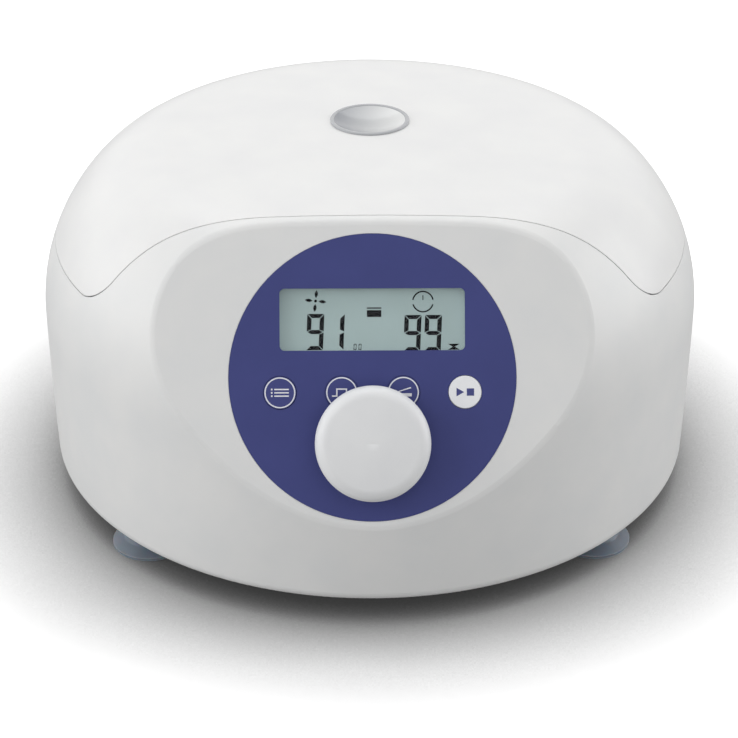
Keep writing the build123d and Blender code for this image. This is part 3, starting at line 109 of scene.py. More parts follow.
def prism(outline, low, high):
    """Closed plate: the outline at two heights, sides joining each point to the next."""
    outline = np.asarray(outline, float)
    count = len(outline)
    lower = np.column_stack([outline, np.full(count, low)])
    upper = np.column_stack([outline, np.full(count, high)])
    ring = np.arange(count)
    after = (ring + 1) % count
    sides = np.column_stack([ring, after, after + count, ring + count])
    return np.vstack([lower, upper]), [ring[::-1].tolist(), (ring + count).tolist()] + sides.tolist()


def turned_ring(profile, count=64):
    """Closed ring: point j of the profile (r, h) at angle a lies at (r cos a, r sin a, h)."""
    profile = np.asarray(profile, float)
    steps = len(profile)
    angle = np.linspace(0.0, 2 * pi, count, endpoint=False)[:, None]
    verts = np.stack([
        profile[:, 0] * np.cos(angle),
        profile[:, 0] * np.sin(angle),
        np.broadcast_to(profile[:, 1], (count, steps)),
    ], axis=-1).reshape(-1, 3)
    i = np.arange(count)[:, None]
    j = np.arange(steps)
    here = i * steps + j
    right = (i + 1) % count * steps + j
    right_up = (i + 1) % count * steps + (j + 1) % steps
    up = i * steps + (j + 1) % steps
    return verts, np.stack([here, right, right_up, up], axis=-1).reshape(-1, 4).tolist()


def flat_ring(outer, inner, low, high):
    """Ring with a square section, turned from its four corners."""
    return turned_ring([(inner, low), (outer, low), (outer, high), (inner, high)])


def on_panel(points, x, rise):
    """Points (x, y, out) about a place on the panel, taken to the shared frame in metres."""
    points = (np.asarray(points) + (x, rise, 0.0)) * MM
    return panel_foot + points @ np.array([panel_right, panel_up, panel_out])


def make_piece(name, parts, material, body):
    """One flat-shaded mesh of all the parts, riding on a body."""
    verts = np.vstack([points for points, faces in parts])
    starts = np.cumsum([0] + [len(points) for points, faces in parts[:-1]])
    faces = [
        [int(start) + v for v in face]
        for start, (points, part_faces) in zip(starts, parts)
        for face in part_faces
    ]
    mesh = bpy.data.meshes.new(name)
    mesh.from_pydata(verts.tolist(), [], faces)
    mesh.materials.append(material)
    mesh.update()
    piece = bpy.data.objects.new(name, mesh)
    bpy.context.collection.objects.link(piece)
    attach(piece, body)


def face_centre(node):
    """Middle and height of a node's outermost face, in panel millimetres."""
    mesh = frame["nodes"][node].data
    points = np.empty(3 * len(mesh.vertices))
    mesh.vertices.foreach_get("co", points)
    axes = np.array([panel_right, panel_up, panel_out])
    points = (points.reshape(-1, 3) - panel_foot) @ axes.T / MM
    height = points[:, 2].max()
    face = points[points[:, 2] > height - face_band]
    middle = (face.min(axis=0) + face.max(axis=0)) / 2
    return middle[0], middle[1], height


# Shader helpers, with texture scales per metre and depths in metres

grain_scale = 900.0
wave_scale = 22.0
wave_share = 0.3
mottle_scale = 60.0
turning_scale = 1500.0
streak_scale = 240.0
track_scale = 160.0
grain_depth = 0.00003
film_depth = 0.00002
edge_width = 0.0006
edge_start = 0.97
edge_full = 0.8


def srgb(red, green, blue):
    """Linear colour of 0 to 255 display values."""
    values = np.array([red, green, blue]) / 255.0
    linear = np.where(values <= 0.04045, values / 12.92, ((values + 0.055) / 1.055) ** 2.4)
    return (*linear.tolist(), 1.0)


def add_node(tree, kind, sockets=(), **settings):
    """Adds a node, sets its properties, and sets or links its input sockets."""
    node = tree.nodes.new(kind)
    for key, value in settings.items():
        setattr(node, key, value)
    for key, value in dict(sockets).items():
        if isinstance(value, bpy.types.NodeSocket):
            tree.links.new(value, node.inputs[key])
        else:
            node.inputs[key].default_value = value
    return node


def new_group(name, inputs, outputs):
    """Empty shader group with named inputs {name: (kind, value)} and outputs {name: kind}."""
    tree = bpy.data.node_groups.new(name, "ShaderNodeTree")
    for socket, (kind, value) in inputs.items():
        made = tree.interface.new_socket(socket, in_out="INPUT", socket_type=kind)
        if value is not None:
            made.default_value = value
    for socket, kind in outputs.items():
        tree.interface.new_socket(socket, in_out="OUTPUT", socket_type=kind)
    return tree, tree.nodes.new("NodeGroupInput"), tree.nodes.new("NodeGroupOutput")


def moulded_skin_group():
    """Fine grain and slow waves of a moulded surface, with a faint mottle."""
    tree, given, result = new_group(
        "moulded_skin",
        {"Point": ("NodeSocketVector", None), "Grain": ("NodeSocketFloat", grain_scale),
         "Waves": ("NodeSocketFloat", wave_share)},
        {"Height": "NodeSocketFloat", "Mottle": "NodeSocketFloat"})
    point = given.outputs["Point"]
    grain = add_node(tree, "ShaderNodeTexNoise",
                     {"Vector": point, "Scale": given.outputs["Grain"], "Detail": 3.0})
    waves = add_node(tree, "ShaderNodeTexNoise",
                     {"Vector": point, "Scale": wave_scale, "Detail": 2.0})
    mottle = add_node(tree, "ShaderNodeTexNoise",
                      {"Vector": point, "Scale": mottle_scale, "Detail": 5.0})
    slow = add_node(tree, "ShaderNodeMath",
                    {0: waves.outputs["Fac"], 1: given.outputs["Waves"]}, operation="MULTIPLY")
    height = add_node(tree, "ShaderNodeMath",
                      {0: slow.outputs[0], 1: grain.outputs["Fac"]}, operation="ADD")
    tree.links.new(height.outputs[0], result.inputs["Height"])
    tree.links.new(mottle.outputs["Fac"], result.inputs["Mottle"])
    return tree


def turning_lines_group():
    """Rings that a lathe leaves round an upright axis."""
    tree, given, result = new_group(
        "turning_lines",
        {"Point": ("NodeSocketVector", None), "Pitch": ("NodeSocketFloat", turning_scale)},
        {"Height": "NodeSocketFloat", "Streak": "NodeSocketFloat"})
    split = add_node(tree, "ShaderNodeSeparateXYZ", {0: given.outputs["Point"]})
    flat = add_node(tree, "ShaderNodeCombineXYZ",
                    {"X": split.outputs["X"], "Y": split.outputs["Y"]})
    radius = add_node(tree, "ShaderNodeVectorMath", {0: flat.outputs[0]}, operation="LENGTH")
    line = add_node(tree, "ShaderNodeCombineXYZ",
                    {"X": radius.outputs["Value"], "Y": split.outputs["Z"]})
    lines = add_node(tree, "ShaderNodeTexNoise",
                     {"Vector": line.outputs[0], "Scale": given.outputs["Pitch"], "Detail": 2.0})
    streak = add_node(tree, "ShaderNodeTexNoise",
                      {"Vector": line.outputs[0], "Scale": streak_scale, "Detail": 3.0})
    tree.links.new(lines.outputs["Fac"], result.inputs["Height"])
    tree.links.new(streak.outputs["Fac"], result.inputs["Streak"])
    return tree


def edge_wear_and_highlight_group():
    """Mask of edges coloured lighter, as wear and as a painted highlight where they catch the light:
    how far a rounded normal turns from the real one.
    """
    tree, given, result = new_group(
        "edge_wear_and_highlight", {"Width": ("NodeSocketFloat", edge_width)}, {"Edge": "NodeSocketFloat"})
    rounded = add_node(tree, "ShaderNodeBevel", {"Radius": given.outputs["Width"]}, samples=4)
    real = add_node(tree, "ShaderNodeNewGeometry")
    turn = add_node(tree, "ShaderNodeVectorMath",
                    {0: rounded.outputs[0], 1: real.outputs["Normal"]}, operation="DOT_PRODUCT")
    edge = add_node(tree, "ShaderNodeMapRange",
                    {"Value": turn.outputs["Value"], "From Min": edge_start,
                     "From Max": edge_full})
    tree.links.new(edge.outputs[0], result.inputs["Edge"])
    return tree


moulded_skin = moulded_skin_group()
turning_lines = turning_lines_group()
edge_wear_and_highlight = edge_wear_and_highlight_group()


def new_material(name, **constants):
    """Material with a Principled shader whose plain inputs are the given constants."""
    material = bpy.data.materials.new(name)
    material.use_nodes = True
    tree = material.node_tree
    shader = tree.nodes["Principled BSDF"]
    for key, value in constants.items():
        shader.inputs[key.replace("_", " ")].default_value = value
    return material, tree, shader


def object_point(tree, centre=(0.0, 0.0, 0.0)):
    """Object coordinates about a centre."""
    coordinates = add_node(tree, "ShaderNodeTexCoord").outputs["Object"]
    shift = tuple(-value for value in centre)
    mapping = add_node(tree, "ShaderNodeMapping", {"Vector": coordinates, "Location": shift})
    return mapping.outputs[0]


def blend_colours(tree, mask, first, second):
    """Colour between two, by a mask."""
    mix = add_node(tree, "ShaderNodeMix", data_type="RGBA")
    tree.links.new(mask, mix.inputs[0])
    for socket, value in ((6, first), (7, second)):
        if isinstance(value, bpy.types.NodeSocket):
            tree.links.new(value, mix.inputs[socket])
        else:
            mix.inputs[socket].default_value = value
    return mix.outputs[2]


def spread(tree, value, low, high, start=0.3, stop=0.7):
    """A value carried from one span to another."""
    node = add_node(tree, "ShaderNodeMapRange", {"Value": value, "From Min": start,
                                                 "From Max": stop, "To Min": low, "To Max": high})
    return node.outputs[0]


def bump(tree, shader, height, strength, distance):
    """Bump from a height, on the shader's normal."""
    node = add_node(tree, "ShaderNodeBump",
                    {"Height": height, "Strength": strength, "Distance": distance})
    tree.links.new(node.outputs[0], shader.inputs["Normal"])


def skin_at(tree, point, **sockets):
    """Moulded skin about a point, with the given grain and waves."""
    return add_node(tree, "ShaderNodeGroup", {"Point": point, **sockets}, node_tree=moulded_skin)


def with_edge_wear_and_highlight(tree, colour, edge):
    """A colour that turns to another, lighter one on the edges: wear, and a painted highlight where
    they catch the light.
    """
    rim = add_node(tree, "ShaderNodeGroup", node_tree=edge_wear_and_highlight)
    return blend_colours(tree, rim.outputs["Edge"], colour, edge)


def greater(tree, first, second):
    """The greater of two values."""
    return add_node(tree, "ShaderNodeMath", {0: first, 1: second}, operation="MAXIMUM").outputs[0]


def moulded(name, light, dark, roughness, grain=grain_scale, waves=wave_share,
            depth=grain_depth, edge=None, **constants):
    """Moulded plastic or rubber: mottled colour, uneven gloss, fine grain, lighter edges as wear and
    painted highlight.
    """
    material, tree, shader = new_material(name, **constants)
    skin = skin_at(tree, object_point(tree), Grain=grain, Waves=waves)
    mottle = skin.outputs["Mottle"]
    colour = blend_colours(tree, spread(tree, mottle, 0.0, 1.0), dark, light)
    if edge is not None:
        colour = with_edge_wear_and_highlight(tree, colour, edge)
    tree.links.new(colour, shader.inputs["Base Color"])
    gloss = spread(tree, mottle, roughness * 0.92, roughness * 1.08)
    tree.links.new(gloss, shader.inputs["Roughness"])
    bump(tree, shader, skin.outputs["Height"], 0.35, depth)
    return material


def turned_metal(name, light, dark, roughness, centre, pitch=turning_scale, edge=None):
    """Turned or spun metal: fine rings about its axis, streaks in colour and gloss."""
    material, tree, shader = new_material(name, Metallic=1.0)
    lines = add_node(tree, "ShaderNodeGroup",
                     {"Point": object_point(tree, centre), "Pitch": pitch},
                     node_tree=turning_lines)
    streak = lines.outputs["Streak"]
    colour = blend_colours(tree, spread(tree, streak, 0.0, 1.0), dark, light)
    if edge is not None:
        colour = with_edge_wear_and_highlight(tree, colour, edge)
    tree.links.new(colour, shader.inputs["Base Color"])
    gloss = spread(tree, streak, roughness * 0.8, roughness * 1.25)
    tree.links.new(gloss, shader.inputs["Roughness"])
    bump(tree, shader, lines.outputs["Height"], 0.2, film_depth)
    return material


def layered(name, first, second, pitch, axis, roughness, metallic):
    """Stacked sheets or windings: bands across one axis, softened by noise."""
    material, tree, shader = new_material(name, Metallic=metallic)
    bands = add_node(tree, "ShaderNodeTexWave",
                     {"Vector": object_point(tree), "Scale": pitch, "Distortion": 0.6,
                      "Detail": 2.0},
                     bands_direction=axis)
    tree.links.new(blend_colours(tree, bands.outputs["Fac"], first, second),
                   shader.inputs["Base Color"])
    gloss = spread(tree, bands.outputs["Fac"], roughness, roughness * 1.3)
    tree.links.new(gloss, shader.inputs["Roughness"])
    bump(tree, shader, bands.outputs["Fac"], 0.5, 0.0001)
    return material


def circuit_board(name):
    """Solder mask with faint tracks under it."""
    material, tree, shader = new_material(name)
    tracks = add_node(tree, "ShaderNodeTexBrick",
                      {"Vector": object_point(tree), "Scale": track_scale, "Mortar Size": 0.06,
                       "Color1": srgb(22, 92, 54), "Color2": srgb(18, 82, 48),
                       "Mortar": srgb(52, 128, 78)})
    tree.links.new(tracks.outputs["Color"], shader.inputs["Base Color"])
    gloss = spread(tree, tracks.outputs["Fac"], 0.32, 0.45, 0.0, 1.0)
    tree.links.new(gloss, shader.inputs["Roughness"])
    bump(tree, shader, tracks.outputs["Fac"], 0.2, 0.00004)
    return material


def smoked_lens_with_painted_shade(name, dark, light, half_width):
    """Smoked plastic with painted shade across the lens: dark on its left side, light on its right.
    """
    material, tree, shader = new_material(name, Coat_Weight=0.4, Coat_Roughness=0.06)
    point = object_point(tree, rotor_place)
    skin = skin_at(tree, point)
    across = add_node(tree, "ShaderNodeSeparateXYZ", {0: point})
    # Painted shade: the colour runs from dark on the left to light on the right.
    painted_shade_across = spread(tree, across.outputs["X"], 0.0, 1.0, -half_width, half_width)
    tree.links.new(blend_colours(tree, painted_shade_across, dark, light), shader.inputs["Base Color"])
    tree.links.new(spread(tree, skin.outputs["Mottle"], 0.2, 0.28), shader.inputs["Roughness"])
    bump(tree, shader, skin.outputs["Height"], 0.15, grain_depth)
    return material


def clear_plastic(name, tint, roughness, index):
    """Clear cover: it refracts for the eye and lets light straight through."""
    material, tree, shader = new_material(
        name, Base_Color=tint, Transmission_Weight=1.0, IOR=index)
    skin = skin_at(tree, object_point(tree))
    gloss = spread(tree, skin.outputs["Mottle"], roughness * 0.7, roughness * 1.3)
    tree.links.new(gloss, shader.inputs["Roughness"])
    path = add_node(tree, "ShaderNodeLightPath")
    unseen = greater(tree, path.outputs["Is Shadow Ray"], path.outputs["Is Diffuse Ray"])
    open_way = add_node(tree, "ShaderNodeBsdfTransparent")
    mix = add_node(tree, "ShaderNodeMixShader",
                   {0: unseen, 1: shader.outputs[0], 2: open_way.outputs[0]})
    tree.links.new(mix.outputs[0], tree.nodes["Material Output"].inputs["Surface"])
    return material


def cup_rubber(name):
    """Pale translucent rubber, lit through by subsurface light, with its edges painted lighter as a
    highlight.
    """
    material, tree, shader = new_material(
        name, Transmission_Weight=0.25, IOR=1.4, Subsurface_Weight=0.5, Subsurface_Scale=0.004)
    skin = skin_at(tree, object_point(tree))
    colour = blend_colours(tree, spread(tree, skin.outputs["Mottle"], 0.0, 1.0),
                           srgb(132, 142, 156), srgb(150, 160, 172))
    # Painted highlight: the cup's edges turn to the lighter colour.
    colour = with_edge_wear_and_highlight(tree, colour, srgb(196, 204, 212))
    tree.links.new(colour, shader.inputs["Base Color"])
    tree.links.new(spread(tree, skin.outputs["Mottle"], 0.3, 0.42), shader.inputs["Roughness"])
    bump(tree, shader, skin.outputs["Height"], 0.2, 0.00004)
    return material


# Finishes, one for each material slot of the record

rotor_place = (float(rotor_axis[0]), float(rotor_axis[1]), 0.0)
finishes = {
    "housing_white": moulded("housing_plastic", srgb(236, 236, 235), srgb(231, 232, 232), 0.36,
                             Specular_IOR_Level=0.35),
    "lid_white": moulded("lid_plastic", srgb(239, 239, 238), srgb(235, 235, 235), 0.34,
                         Specular_IOR_Level=0.35),
    "liner_white": moulded("liner_plastic", srgb(226, 226, 224), srgb(219, 220, 219), 0.5),
    "base_grey": moulded("base_plastic", srgb(208, 210, 212), srgb(196, 198, 201), 0.55,
                         grain=1400.0, depth=0.00008),
    "panel_blue": moulded("panel_film", srgb(66, 72, 131), srgb(61, 67, 125), 0.5,
                          grain=2200.0, waves=0.1, depth=film_depth, Specular_IOR_Level=0.25),
    "key_blue": moulded("key_film", srgb(67, 73, 132), srgb(63, 69, 127), 0.45,
                        grain=2200.0, waves=0.1, depth=film_depth, Specular_IOR_Level=0.25),
    "key_white": moulded("start_key_plastic", srgb(250, 251, 253), srgb(245, 247, 250), 0.35),
    # The knob's lighter edge colour is a painted highlight on its rounded rim.
    "knob_grey": moulded("knob_plastic", srgb(236, 237, 238), srgb(230, 231, 233), 0.42,
                         edge=srgb(250, 250, 251)),
    "lens_grey": moulded("bezel_plastic", srgb(178, 180, 183), srgb(170, 172, 176), 0.16,
                         waves=0.5, Coat_Weight=0.5, Coat_Roughness=0.05),
    "lcd_glass": moulded("display_glass", srgb(176, 195, 195), srgb(169, 188, 187), 0.25,
                         waves=0.1, depth=0.00001),
    "part_black": moulded("black_plastic", srgb(38, 39, 41), srgb(28, 29, 31), 0.48,
                          grain=1300.0, depth=0.00006, edge=srgb(74, 76, 79)),
    "seal_rubber": moulded("seal_rubber_skin", srgb(84, 86, 89), srgb(70, 72, 75), 0.7,
                           grain=1100.0, depth=0.00008),
    "cable_grey": moulded("cable_jacket", srgb(150, 152, 156), srgb(136, 139, 143), 0.5),
    "foot_rubber": cup_rubber("cup_rubber_skin"),
    "window_clear": clear_plastic("coated_window", (0.96, 0.99, 0.99, 1.0), 0.01, 1.15),
    "fuse_glass": clear_plastic("fuse_tube_glass", (0.93, 0.97, 0.97, 1.0), 0.03, 1.5),
    "board_green": circuit_board("board_mask"),
    "bowl_steel": turned_metal("bowl_spun_steel", srgb(205, 207, 210), srgb(184, 187, 191), 0.32,
                               rotor_place, 900.0),
    "rotor_black": turned_metal("rotor_anodised", srgb(74, 78, 86), srgb(54, 58, 66), 0.36,
                                rotor_place, 1600.0, edge=srgb(150, 153, 158)),
    "aluminium_part": turned_metal("turned_aluminium", srgb(222, 223, 225),
                                   srgb(200, 202, 205), 0.3, rotor_place),
    "steel": turned_metal("machined_steel", srgb(196, 198, 201), srgb(172, 175, 179), 0.34,
                          rotor_place, 1100.0, edge=srgb(226, 227, 229)),
    "zinc_screw": turned_metal("zinc_plate", srgb(212, 213, 210), srgb(188, 190, 186), 0.28,
                               (0.0, 0.0, 0.0), 2000.0),
    "brass_pin": turned_metal("plated_brass", srgb(222, 196, 124), srgb(200, 172, 100), 0.26,
                              (0.0, 0.0, 0.0), 2000.0),
    "copper_core": layered("stacked_core", srgb(108, 74, 52), srgb(74, 54, 42), 420.0, "Z",
                           0.4, 0.6),
}
mark_white = moulded("printed_white", srgb(240, 241, 244), srgb(234, 235, 240), 0.5, waves=0.1)
mark_blue = moulded("printed_blue", srgb(60, 66, 128), srgb(54, 60, 120), 0.5, waves=0.1)
mark_dark = moulded("display_segments", srgb(14, 15, 20), srgb(9, 10, 14), 0.6, waves=0.1,
                    Specular_IOR_Level=0.05)
# Painted shade on the inspection lens: dark on the left, light on the right.
lens_half_width = 0.0105
lens_smoke_and_painted_shade = smoked_lens_with_painted_shade("lens_smoke_painted_shade", srgb(140, 143, 149), srgb(226, 227, 226), lens_half_width)

slot_of = {entry["node"]: entry["material_slot"] for entry in frame["record"]["subparts"]}
for node, piece in frame["nodes"].items():
    for slot in piece.material_slots:
        slot.material = finishes[slot_of[node]]
for slot in frame["nodes"]["inspection_lens"].material_slots:
    slot.material = lens_smoke_and_painted_shade


# Display

lcd_x, lcd_rise, lcd_out = face_centre("lcd_module")
display = []


def show(outline):
    """Adds a dark shape, drawn about the window's middle, to the display."""
    points, faces = prism(outline, lcd_out - print_thickness, lcd_out + segment_height)
    display.append((on_panel(points, lcd_x, lcd_rise), faces))


def rectangle(x0, x1, y0, y1):
    """Corners in turning order."""
    return [(x0, y0), (x1, y0), (x1, y1), (x0, y1)]


def arc_band(x, y, inner, outer, start, stop, steps=24):
    """Band between two radii: out along the outer arc, back along the inner one."""
    angle = np.radians(np.linspace(start, stop, steps))
    turn = np.column_stack([np.cos(angle), np.sin(angle)])
    return np.vstack([outer * turn, inner * turn[::-1]]) + (x, y)


def leaf(x, y, start, stop, half, turn, steps=12):
    """Pointed blade: half width half sin(pi t) along a line from start to stop, then turned."""
    t = np.linspace(0.0, 1.0, steps)
    along = start + (stop - start) * t
    wide = half * np.sin(pi * t)
    outline = np.vstack([np.column_stack([along, -wide])[:-1],
                         np.column_stack([along, wide])[:0:-1]])
    spin = np.array([[cos(turn), sin(turn)], [-sin(turn), cos(turn)]])
    return outline @ spin + (x, y)


def segment_shapes(w, h, v, t, g):
    """Seven bars in a cell w by h: uprights v wide, level bars t high, gaps g at their ends."""
    m = h / 2
    return {
        "top": [(g, 0), (g + t, -t), (w - g - t, -t), (w - g, 0)],
        "upper_left": [(0, -g), (0, -m + g), (v, -m + t / 2 + g), (v, -v - g)],
        "upper_right": [(w - v, -v - g), (w - v, -m + t / 2 + g), (w, -m + g), (w, -g)],
        "middle": [(2 * g, -m), (v, -m - t / 2), (w - v, -m - t / 2), (w - 2 * g, -m),
                   (w - v, -m + t / 2), (v, -m + t / 2)],
        "lower_left": [(0, -m - g), (0, -h + g), (v, -h + t + g), (v, -m - t / 2 - g)],
        "lower_right": [(w - v, -m - t / 2 - g), (w - v, -h + t + g), (w, -h + g), (w, -m - g)],
        "bottom": [(g + t, -h + t), (g, -h), (w - g, -h), (w - g - t, -h + t)],
    }


lit_bars = {
    "0": ("top", "upper_left", "upper_right", "lower_left", "lower_right", "bottom"),
    "1": ("upper_right", "lower_right"),
    "9": ("top", "upper_left", "upper_right", "middle", "lower_right", "bottom"),
}


def show_digit(character, x, y, scale=1.0):
    """A digit whose cell has its upper left corner at (x, y), leaning by its slant."""
    shapes = segment_shapes(digit_width, digit_height, stroke_width, stroke_height, stroke_gap)
    for bar in lit_bars[character]:
        outline = np.array(shapes[bar], float) * scale
        outline[:, 0] += outline[:, 1] * digit_slant
        show(outline + (x, y))


def display_marks():
    """Digits and the small signs above them."""
    for text, left, top in digit_rows:
        for i, character in enumerate(text):
            show_digit(character, left + digit_pitch * i, top)
    for i in range(4):
        show(leaf(fan_x, fan_y, blade_start, blade_tip, blade_half, fan_turn + i * pi / 2))
    show(arc_band(fan_x, fan_y, 0.0, hub_radius, 0.0, 345.0))
    show(rectangle(bar_left, bar_right, 3.3, 3.7))
    show(rectangle(bar_left, bar_right, 0.8, 2.9))
    show(arc_band(dial_x, dial_y, dial_inner, dial_outer, 10.0, 170.0))
    show(arc_band(dial_x, dial_y, dial_inner, dial_outer, 195.0, 345.0))
    show(rectangle(15.25, 15.55, 5.9, 7.3))
    text, left, top = small_row
    for i, character in enumerate(text):
        show_digit(character, left + small_pitch * i, top, small_scale)
    show([(arrow_left, -7.4), (arrow_middle, -8.5), (arrow_right, -7.4)])
    show([(arrow_left, -9.2), (arrow_right, -9.2), (arrow_middle, -8.1)])
    make_piece("display_marks", display, mark_dark, "housing")


# Keys

def key_marks(node, body, shapes, material, ringed):
    """A sign printed on a key's face, with a ring round it on the keys that have one."""
    x, rise, height = face_centre(node)
    top = height + print_thickness
    parts = [flat_ring(ring_outer, ring_outer - ring_line, height, top)] if ringed else []
    parts += [prism(outline, height, top) for outline in shapes]
    placed = [(on_panel(points, x, rise), faces) for points, faces in parts]
    make_piece(node + "_marks", placed, material, body)


def list_sign():
    """Three lines with a dot before each."""
    lines = [rectangle(-1.7, 2.7, y - row_half, y + row_half) for y in sign_rows]
    dots = [rectangle(-2.7, -2.2, y - dot_half, y + dot_half) for y in sign_rows]
    return lines + dots


def pulse_sign():
    """A square wave."""
    return [
        rectangle(-2.9, -1.25, -1.25, -0.85), rectangle(-1.65, -1.25, -0.85, 0.85),
        rectangle(-1.65, 1.65, 0.85, 1.25), rectangle(1.25, 1.65, -0.85, 0.85),
        rectangle(1.25, 2.9, -1.25, -0.85),
    ]


def lid_sign():
    """A raised lid over a bowl."""
    return [
        rectangle(-2.5, 2.5, -1.25, -0.3),
        [(-2.5, 0.05), (-2.3, -0.15), (2.4, 1.25), (2.2, 1.6)],
    ]


def start_sign():
    """A triangle and a square."""
    return [[(-2.6, -1.3), (-0.3, 0.0), (-2.6, 1.3)], rectangle(0.5, 2.7, -1.1, 1.1)]


def all_key_marks():
    """The signs on the four keys."""
    key_marks("key_program", "program_key", list_sign(), mark_white, True)
    key_marks("key_pulse", "pulse_key", pulse_sign(), mark_white, True)
    key_marks("key_lid_release", "lid_key", lid_sign(), mark_white, True)
    key_marks("key_start_stop", "start_key", start_sign(), mark_blue, False)


# Rotor: printed numbers, in metres, whose figures fill a share of the letter size

socket_count = 8
number_ring = 0.03775
number_height = 0.0032
cap_share = 0.7


def numeral(text, angle, height):
    """A printed number on the rotor's rim: its flat outline, centred, then turned by an angle."""
    curve = bpy.data.curves.new("numeral_" + text, "FONT")
    curve.body = text
    curve.size = number_height / cap_share
    curve.extrude = print_thickness * MM / 2
    drawn = bpy.data.objects.new("numeral_" + text, curve)
    bpy.context.collection.objects.link(drawn)
    bpy.context.view_layer.update()
    mesh = bpy.data.meshes.new_from_object(drawn)
    bpy.data.objects.remove(drawn)
    points = np.empty(3 * len(mesh.vertices))
    mesh.vertices.foreach_get("co", points)
    points = points.reshape(-1, 3)
    points -= (points.min(axis=0) + points.max(axis=0)) / 2
    points[:, 1] += number_ring
    turn = angle - pi / 2
    spin = np.array([[cos(turn), sin(turn), 0.0], [-sin(turn), cos(turn), 0.0], [0.0, 0.0, 1.0]])
    faces = [list(face.vertices) for face in mesh.polygons]
    return points @ spin + (rotor_axis[0], rotor_axis[1], height), faces


def rotor_numbers():
    """The numbers of the tube places, each on the rim beside its socket."""
    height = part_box("rotor")[1].z + print_thickness * MM / 2
    parts = [numeral(str(i + 1), 2 * pi * i / socket_count, height) for i in range(socket_count)]
    make_piece("rotor_numbers", parts, mark_white, "rotor_drive")


# Studio, in metres

floor_half = 4.0
floor_cells = 8
# Painted shadow on the floor: its colour darkens where ambient occlusion finds the object near.
shade_reach = 0.085
shade_power = 2.5
shade_dark = 0.04
shade_light = 0.99
floor_glow = 0.6
bounce_grey = (0.45, 0.45, 0.45, 1.0)
room_level = 0.42
aim_height = 0.06

# Softboxes: name, direction from the object, distance, side, level at the object
boxes = (
    ("overhead", (0.0, 0.40, 0.92), 1.2, 1.1, 0.38),
    ("left_fill", (-0.80, -0.40, 0.42), 1.2, 0.9, 0.30),
    ("left_low", (-1.0, 0.10, 0.15), 1.2, 0.8, 0.20),
    ("right_rim", (0.95, 0.05, 0.30), 1.2, 0.8, 0.36),
    ("front_fill", (0.05, -0.80, 0.60), 1.2, 1.0, 0.10),
)

camera_target = Vector((-0.0003, 0.003509, 0.030))
camera_place = Vector((-0.0055, -0.6058, 0.3747))
focal_length = 97.3
sensor_width = 36.0


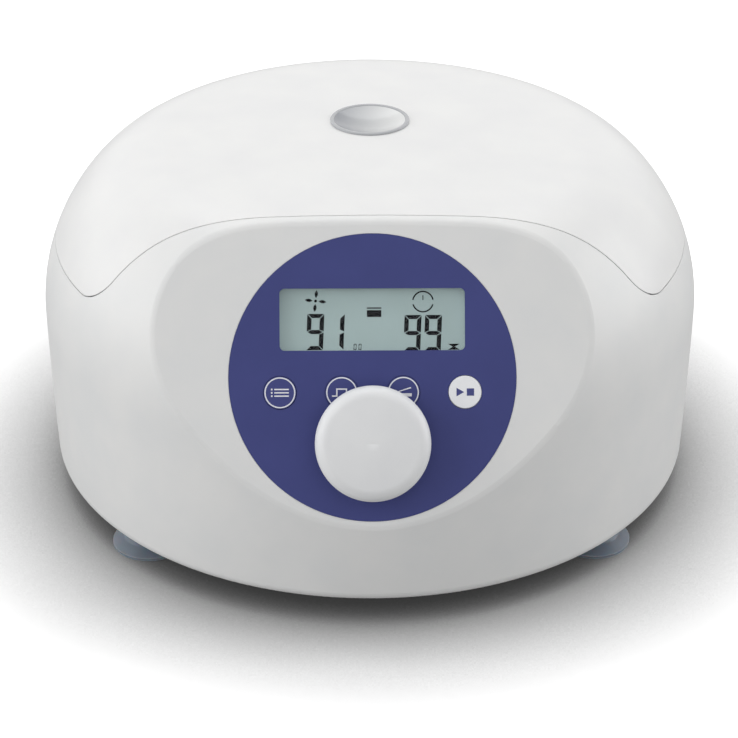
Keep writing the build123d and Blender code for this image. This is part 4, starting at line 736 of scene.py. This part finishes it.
def floor():
    """Pale flat floor, white to the eye where it is lit, with a painted shadow near the object, and
    duller for bounced light.
    """
    row = floor_cells + 1
    edge = np.linspace(-floor_half, floor_half, row)
    x, y = np.meshgrid(edge, edge)
    verts = np.column_stack([x.ravel(), y.ravel(), np.zeros(x.size)])
    cell = np.arange(floor_cells)
    corner = (cell[:, None] * row + cell).ravel()
    faces = np.column_stack([corner, corner + 1, corner + row + 1, corner + row]).tolist()
    mesh = bpy.data.meshes.new("floor")
    mesh.from_pydata(verts.tolist(), [], faces)
    material = bpy.data.materials.new("floor_paper_with_painted_shadow")
    material.use_nodes = True
    tree = material.node_tree
    tree.nodes.remove(tree.nodes["Principled BSDF"])
    path = add_node(tree, "ShaderNodeLightPath")
    # Painted shadow: ambient occlusion darkens the floor's colour, and its glow, near the object.
    painted_shadow_occlusion = add_node(tree, "ShaderNodeAmbientOcclusion", {"Distance": shade_reach}, samples=8)
    depth = add_node(tree, "ShaderNodeMath", {0: painted_shadow_occlusion.outputs["AO"], 1: shade_power},
                     operation="POWER")
    paper_with_painted_shadow = add_node(tree, "ShaderNodeMapRange",
                     {"Value": depth.outputs[0], "To Min": shade_dark, "To Max": shade_light})
    seen = add_node(tree, "ShaderNodeBsdfDiffuse", {"Color": paper_with_painted_shadow.outputs[0]})
    glow = add_node(tree, "ShaderNodeEmission",
                    {"Strength": floor_glow, "Color": paper_with_painted_shadow.outputs[0]})
    lit = add_node(tree, "ShaderNodeAddShader", {0: seen.outputs[0], 1: glow.outputs[0]})
    dull = add_node(tree, "ShaderNodeBsdfDiffuse", {"Color": bounce_grey})
    mix = add_node(tree, "ShaderNodeMixShader",
                   {0: path.outputs["Is Camera Ray"], 1: dull.outputs[0], 2: lit.outputs[0]})
    tree.links.new(mix.outputs[0], tree.nodes["Material Output"].inputs["Surface"])
    mesh.materials.append(material)
    piece = bpy.data.objects.new("floor", mesh)
    bpy.context.collection.objects.link(piece)


def world():
    """Plain soft surroundings, white to the eye and in reflections."""
    studio = bpy.data.worlds.new("studio")
    bpy.context.scene.world = studio
    studio.use_nodes = True
    tree = studio.node_tree
    path = add_node(tree, "ShaderNodeLightPath")
    mirrored = greater(tree, path.outputs["Is Glossy Ray"], path.outputs["Is Transmission Ray"])
    clear = greater(tree, mirrored, path.outputs["Is Camera Ray"])
    level = spread(tree, clear, room_level, 1.0, 0.0, 1.0)
    tree.links.new(level, tree.nodes["Background"].inputs["Strength"])
    tree.nodes["Background"].inputs["Color"].default_value = (1.0, 1.0, 1.0, 1.0)


def softbox(name, direction, distance, size, level):
    """Square lamp aimed at the object. Its power is the level there times (pi distance)^2."""
    away = Vector(direction).normalized() * distance
    lamp = bpy.data.lights.new(name, "AREA")
    lamp.size = size
    lamp.energy = level * pi**2 * distance**2
    piece = bpy.data.objects.new(name, lamp)
    piece.location = away + Vector((0.0, 0.0, aim_height))
    piece.rotation_euler = away.to_track_quat("Z", "Y").to_euler()
    bpy.context.collection.objects.link(piece)


def lamps():
    """Overhead box a little behind, soft sides, a weak front."""
    for box in boxes:
        softbox(*box)


def camera():
    """Square on to the panel, looking down from about 0.7 m."""
    lens = bpy.data.cameras.new("camera")
    lens.lens = focal_length
    lens.sensor_width = sensor_width
    piece = bpy.data.objects.new("camera", lens)
    piece.location = camera_place
    piece.rotation_euler = (camera_target - camera_place).to_track_quat("-Z", "Y").to_euler()
    bpy.context.collection.objects.link(piece)
    bpy.context.scene.camera = piece


display_marks()
all_key_marks()
rotor_numbers()
floor()
world()
lamps()
camera()
bpy.context.scene.view_settings.view_transform = "Standard"
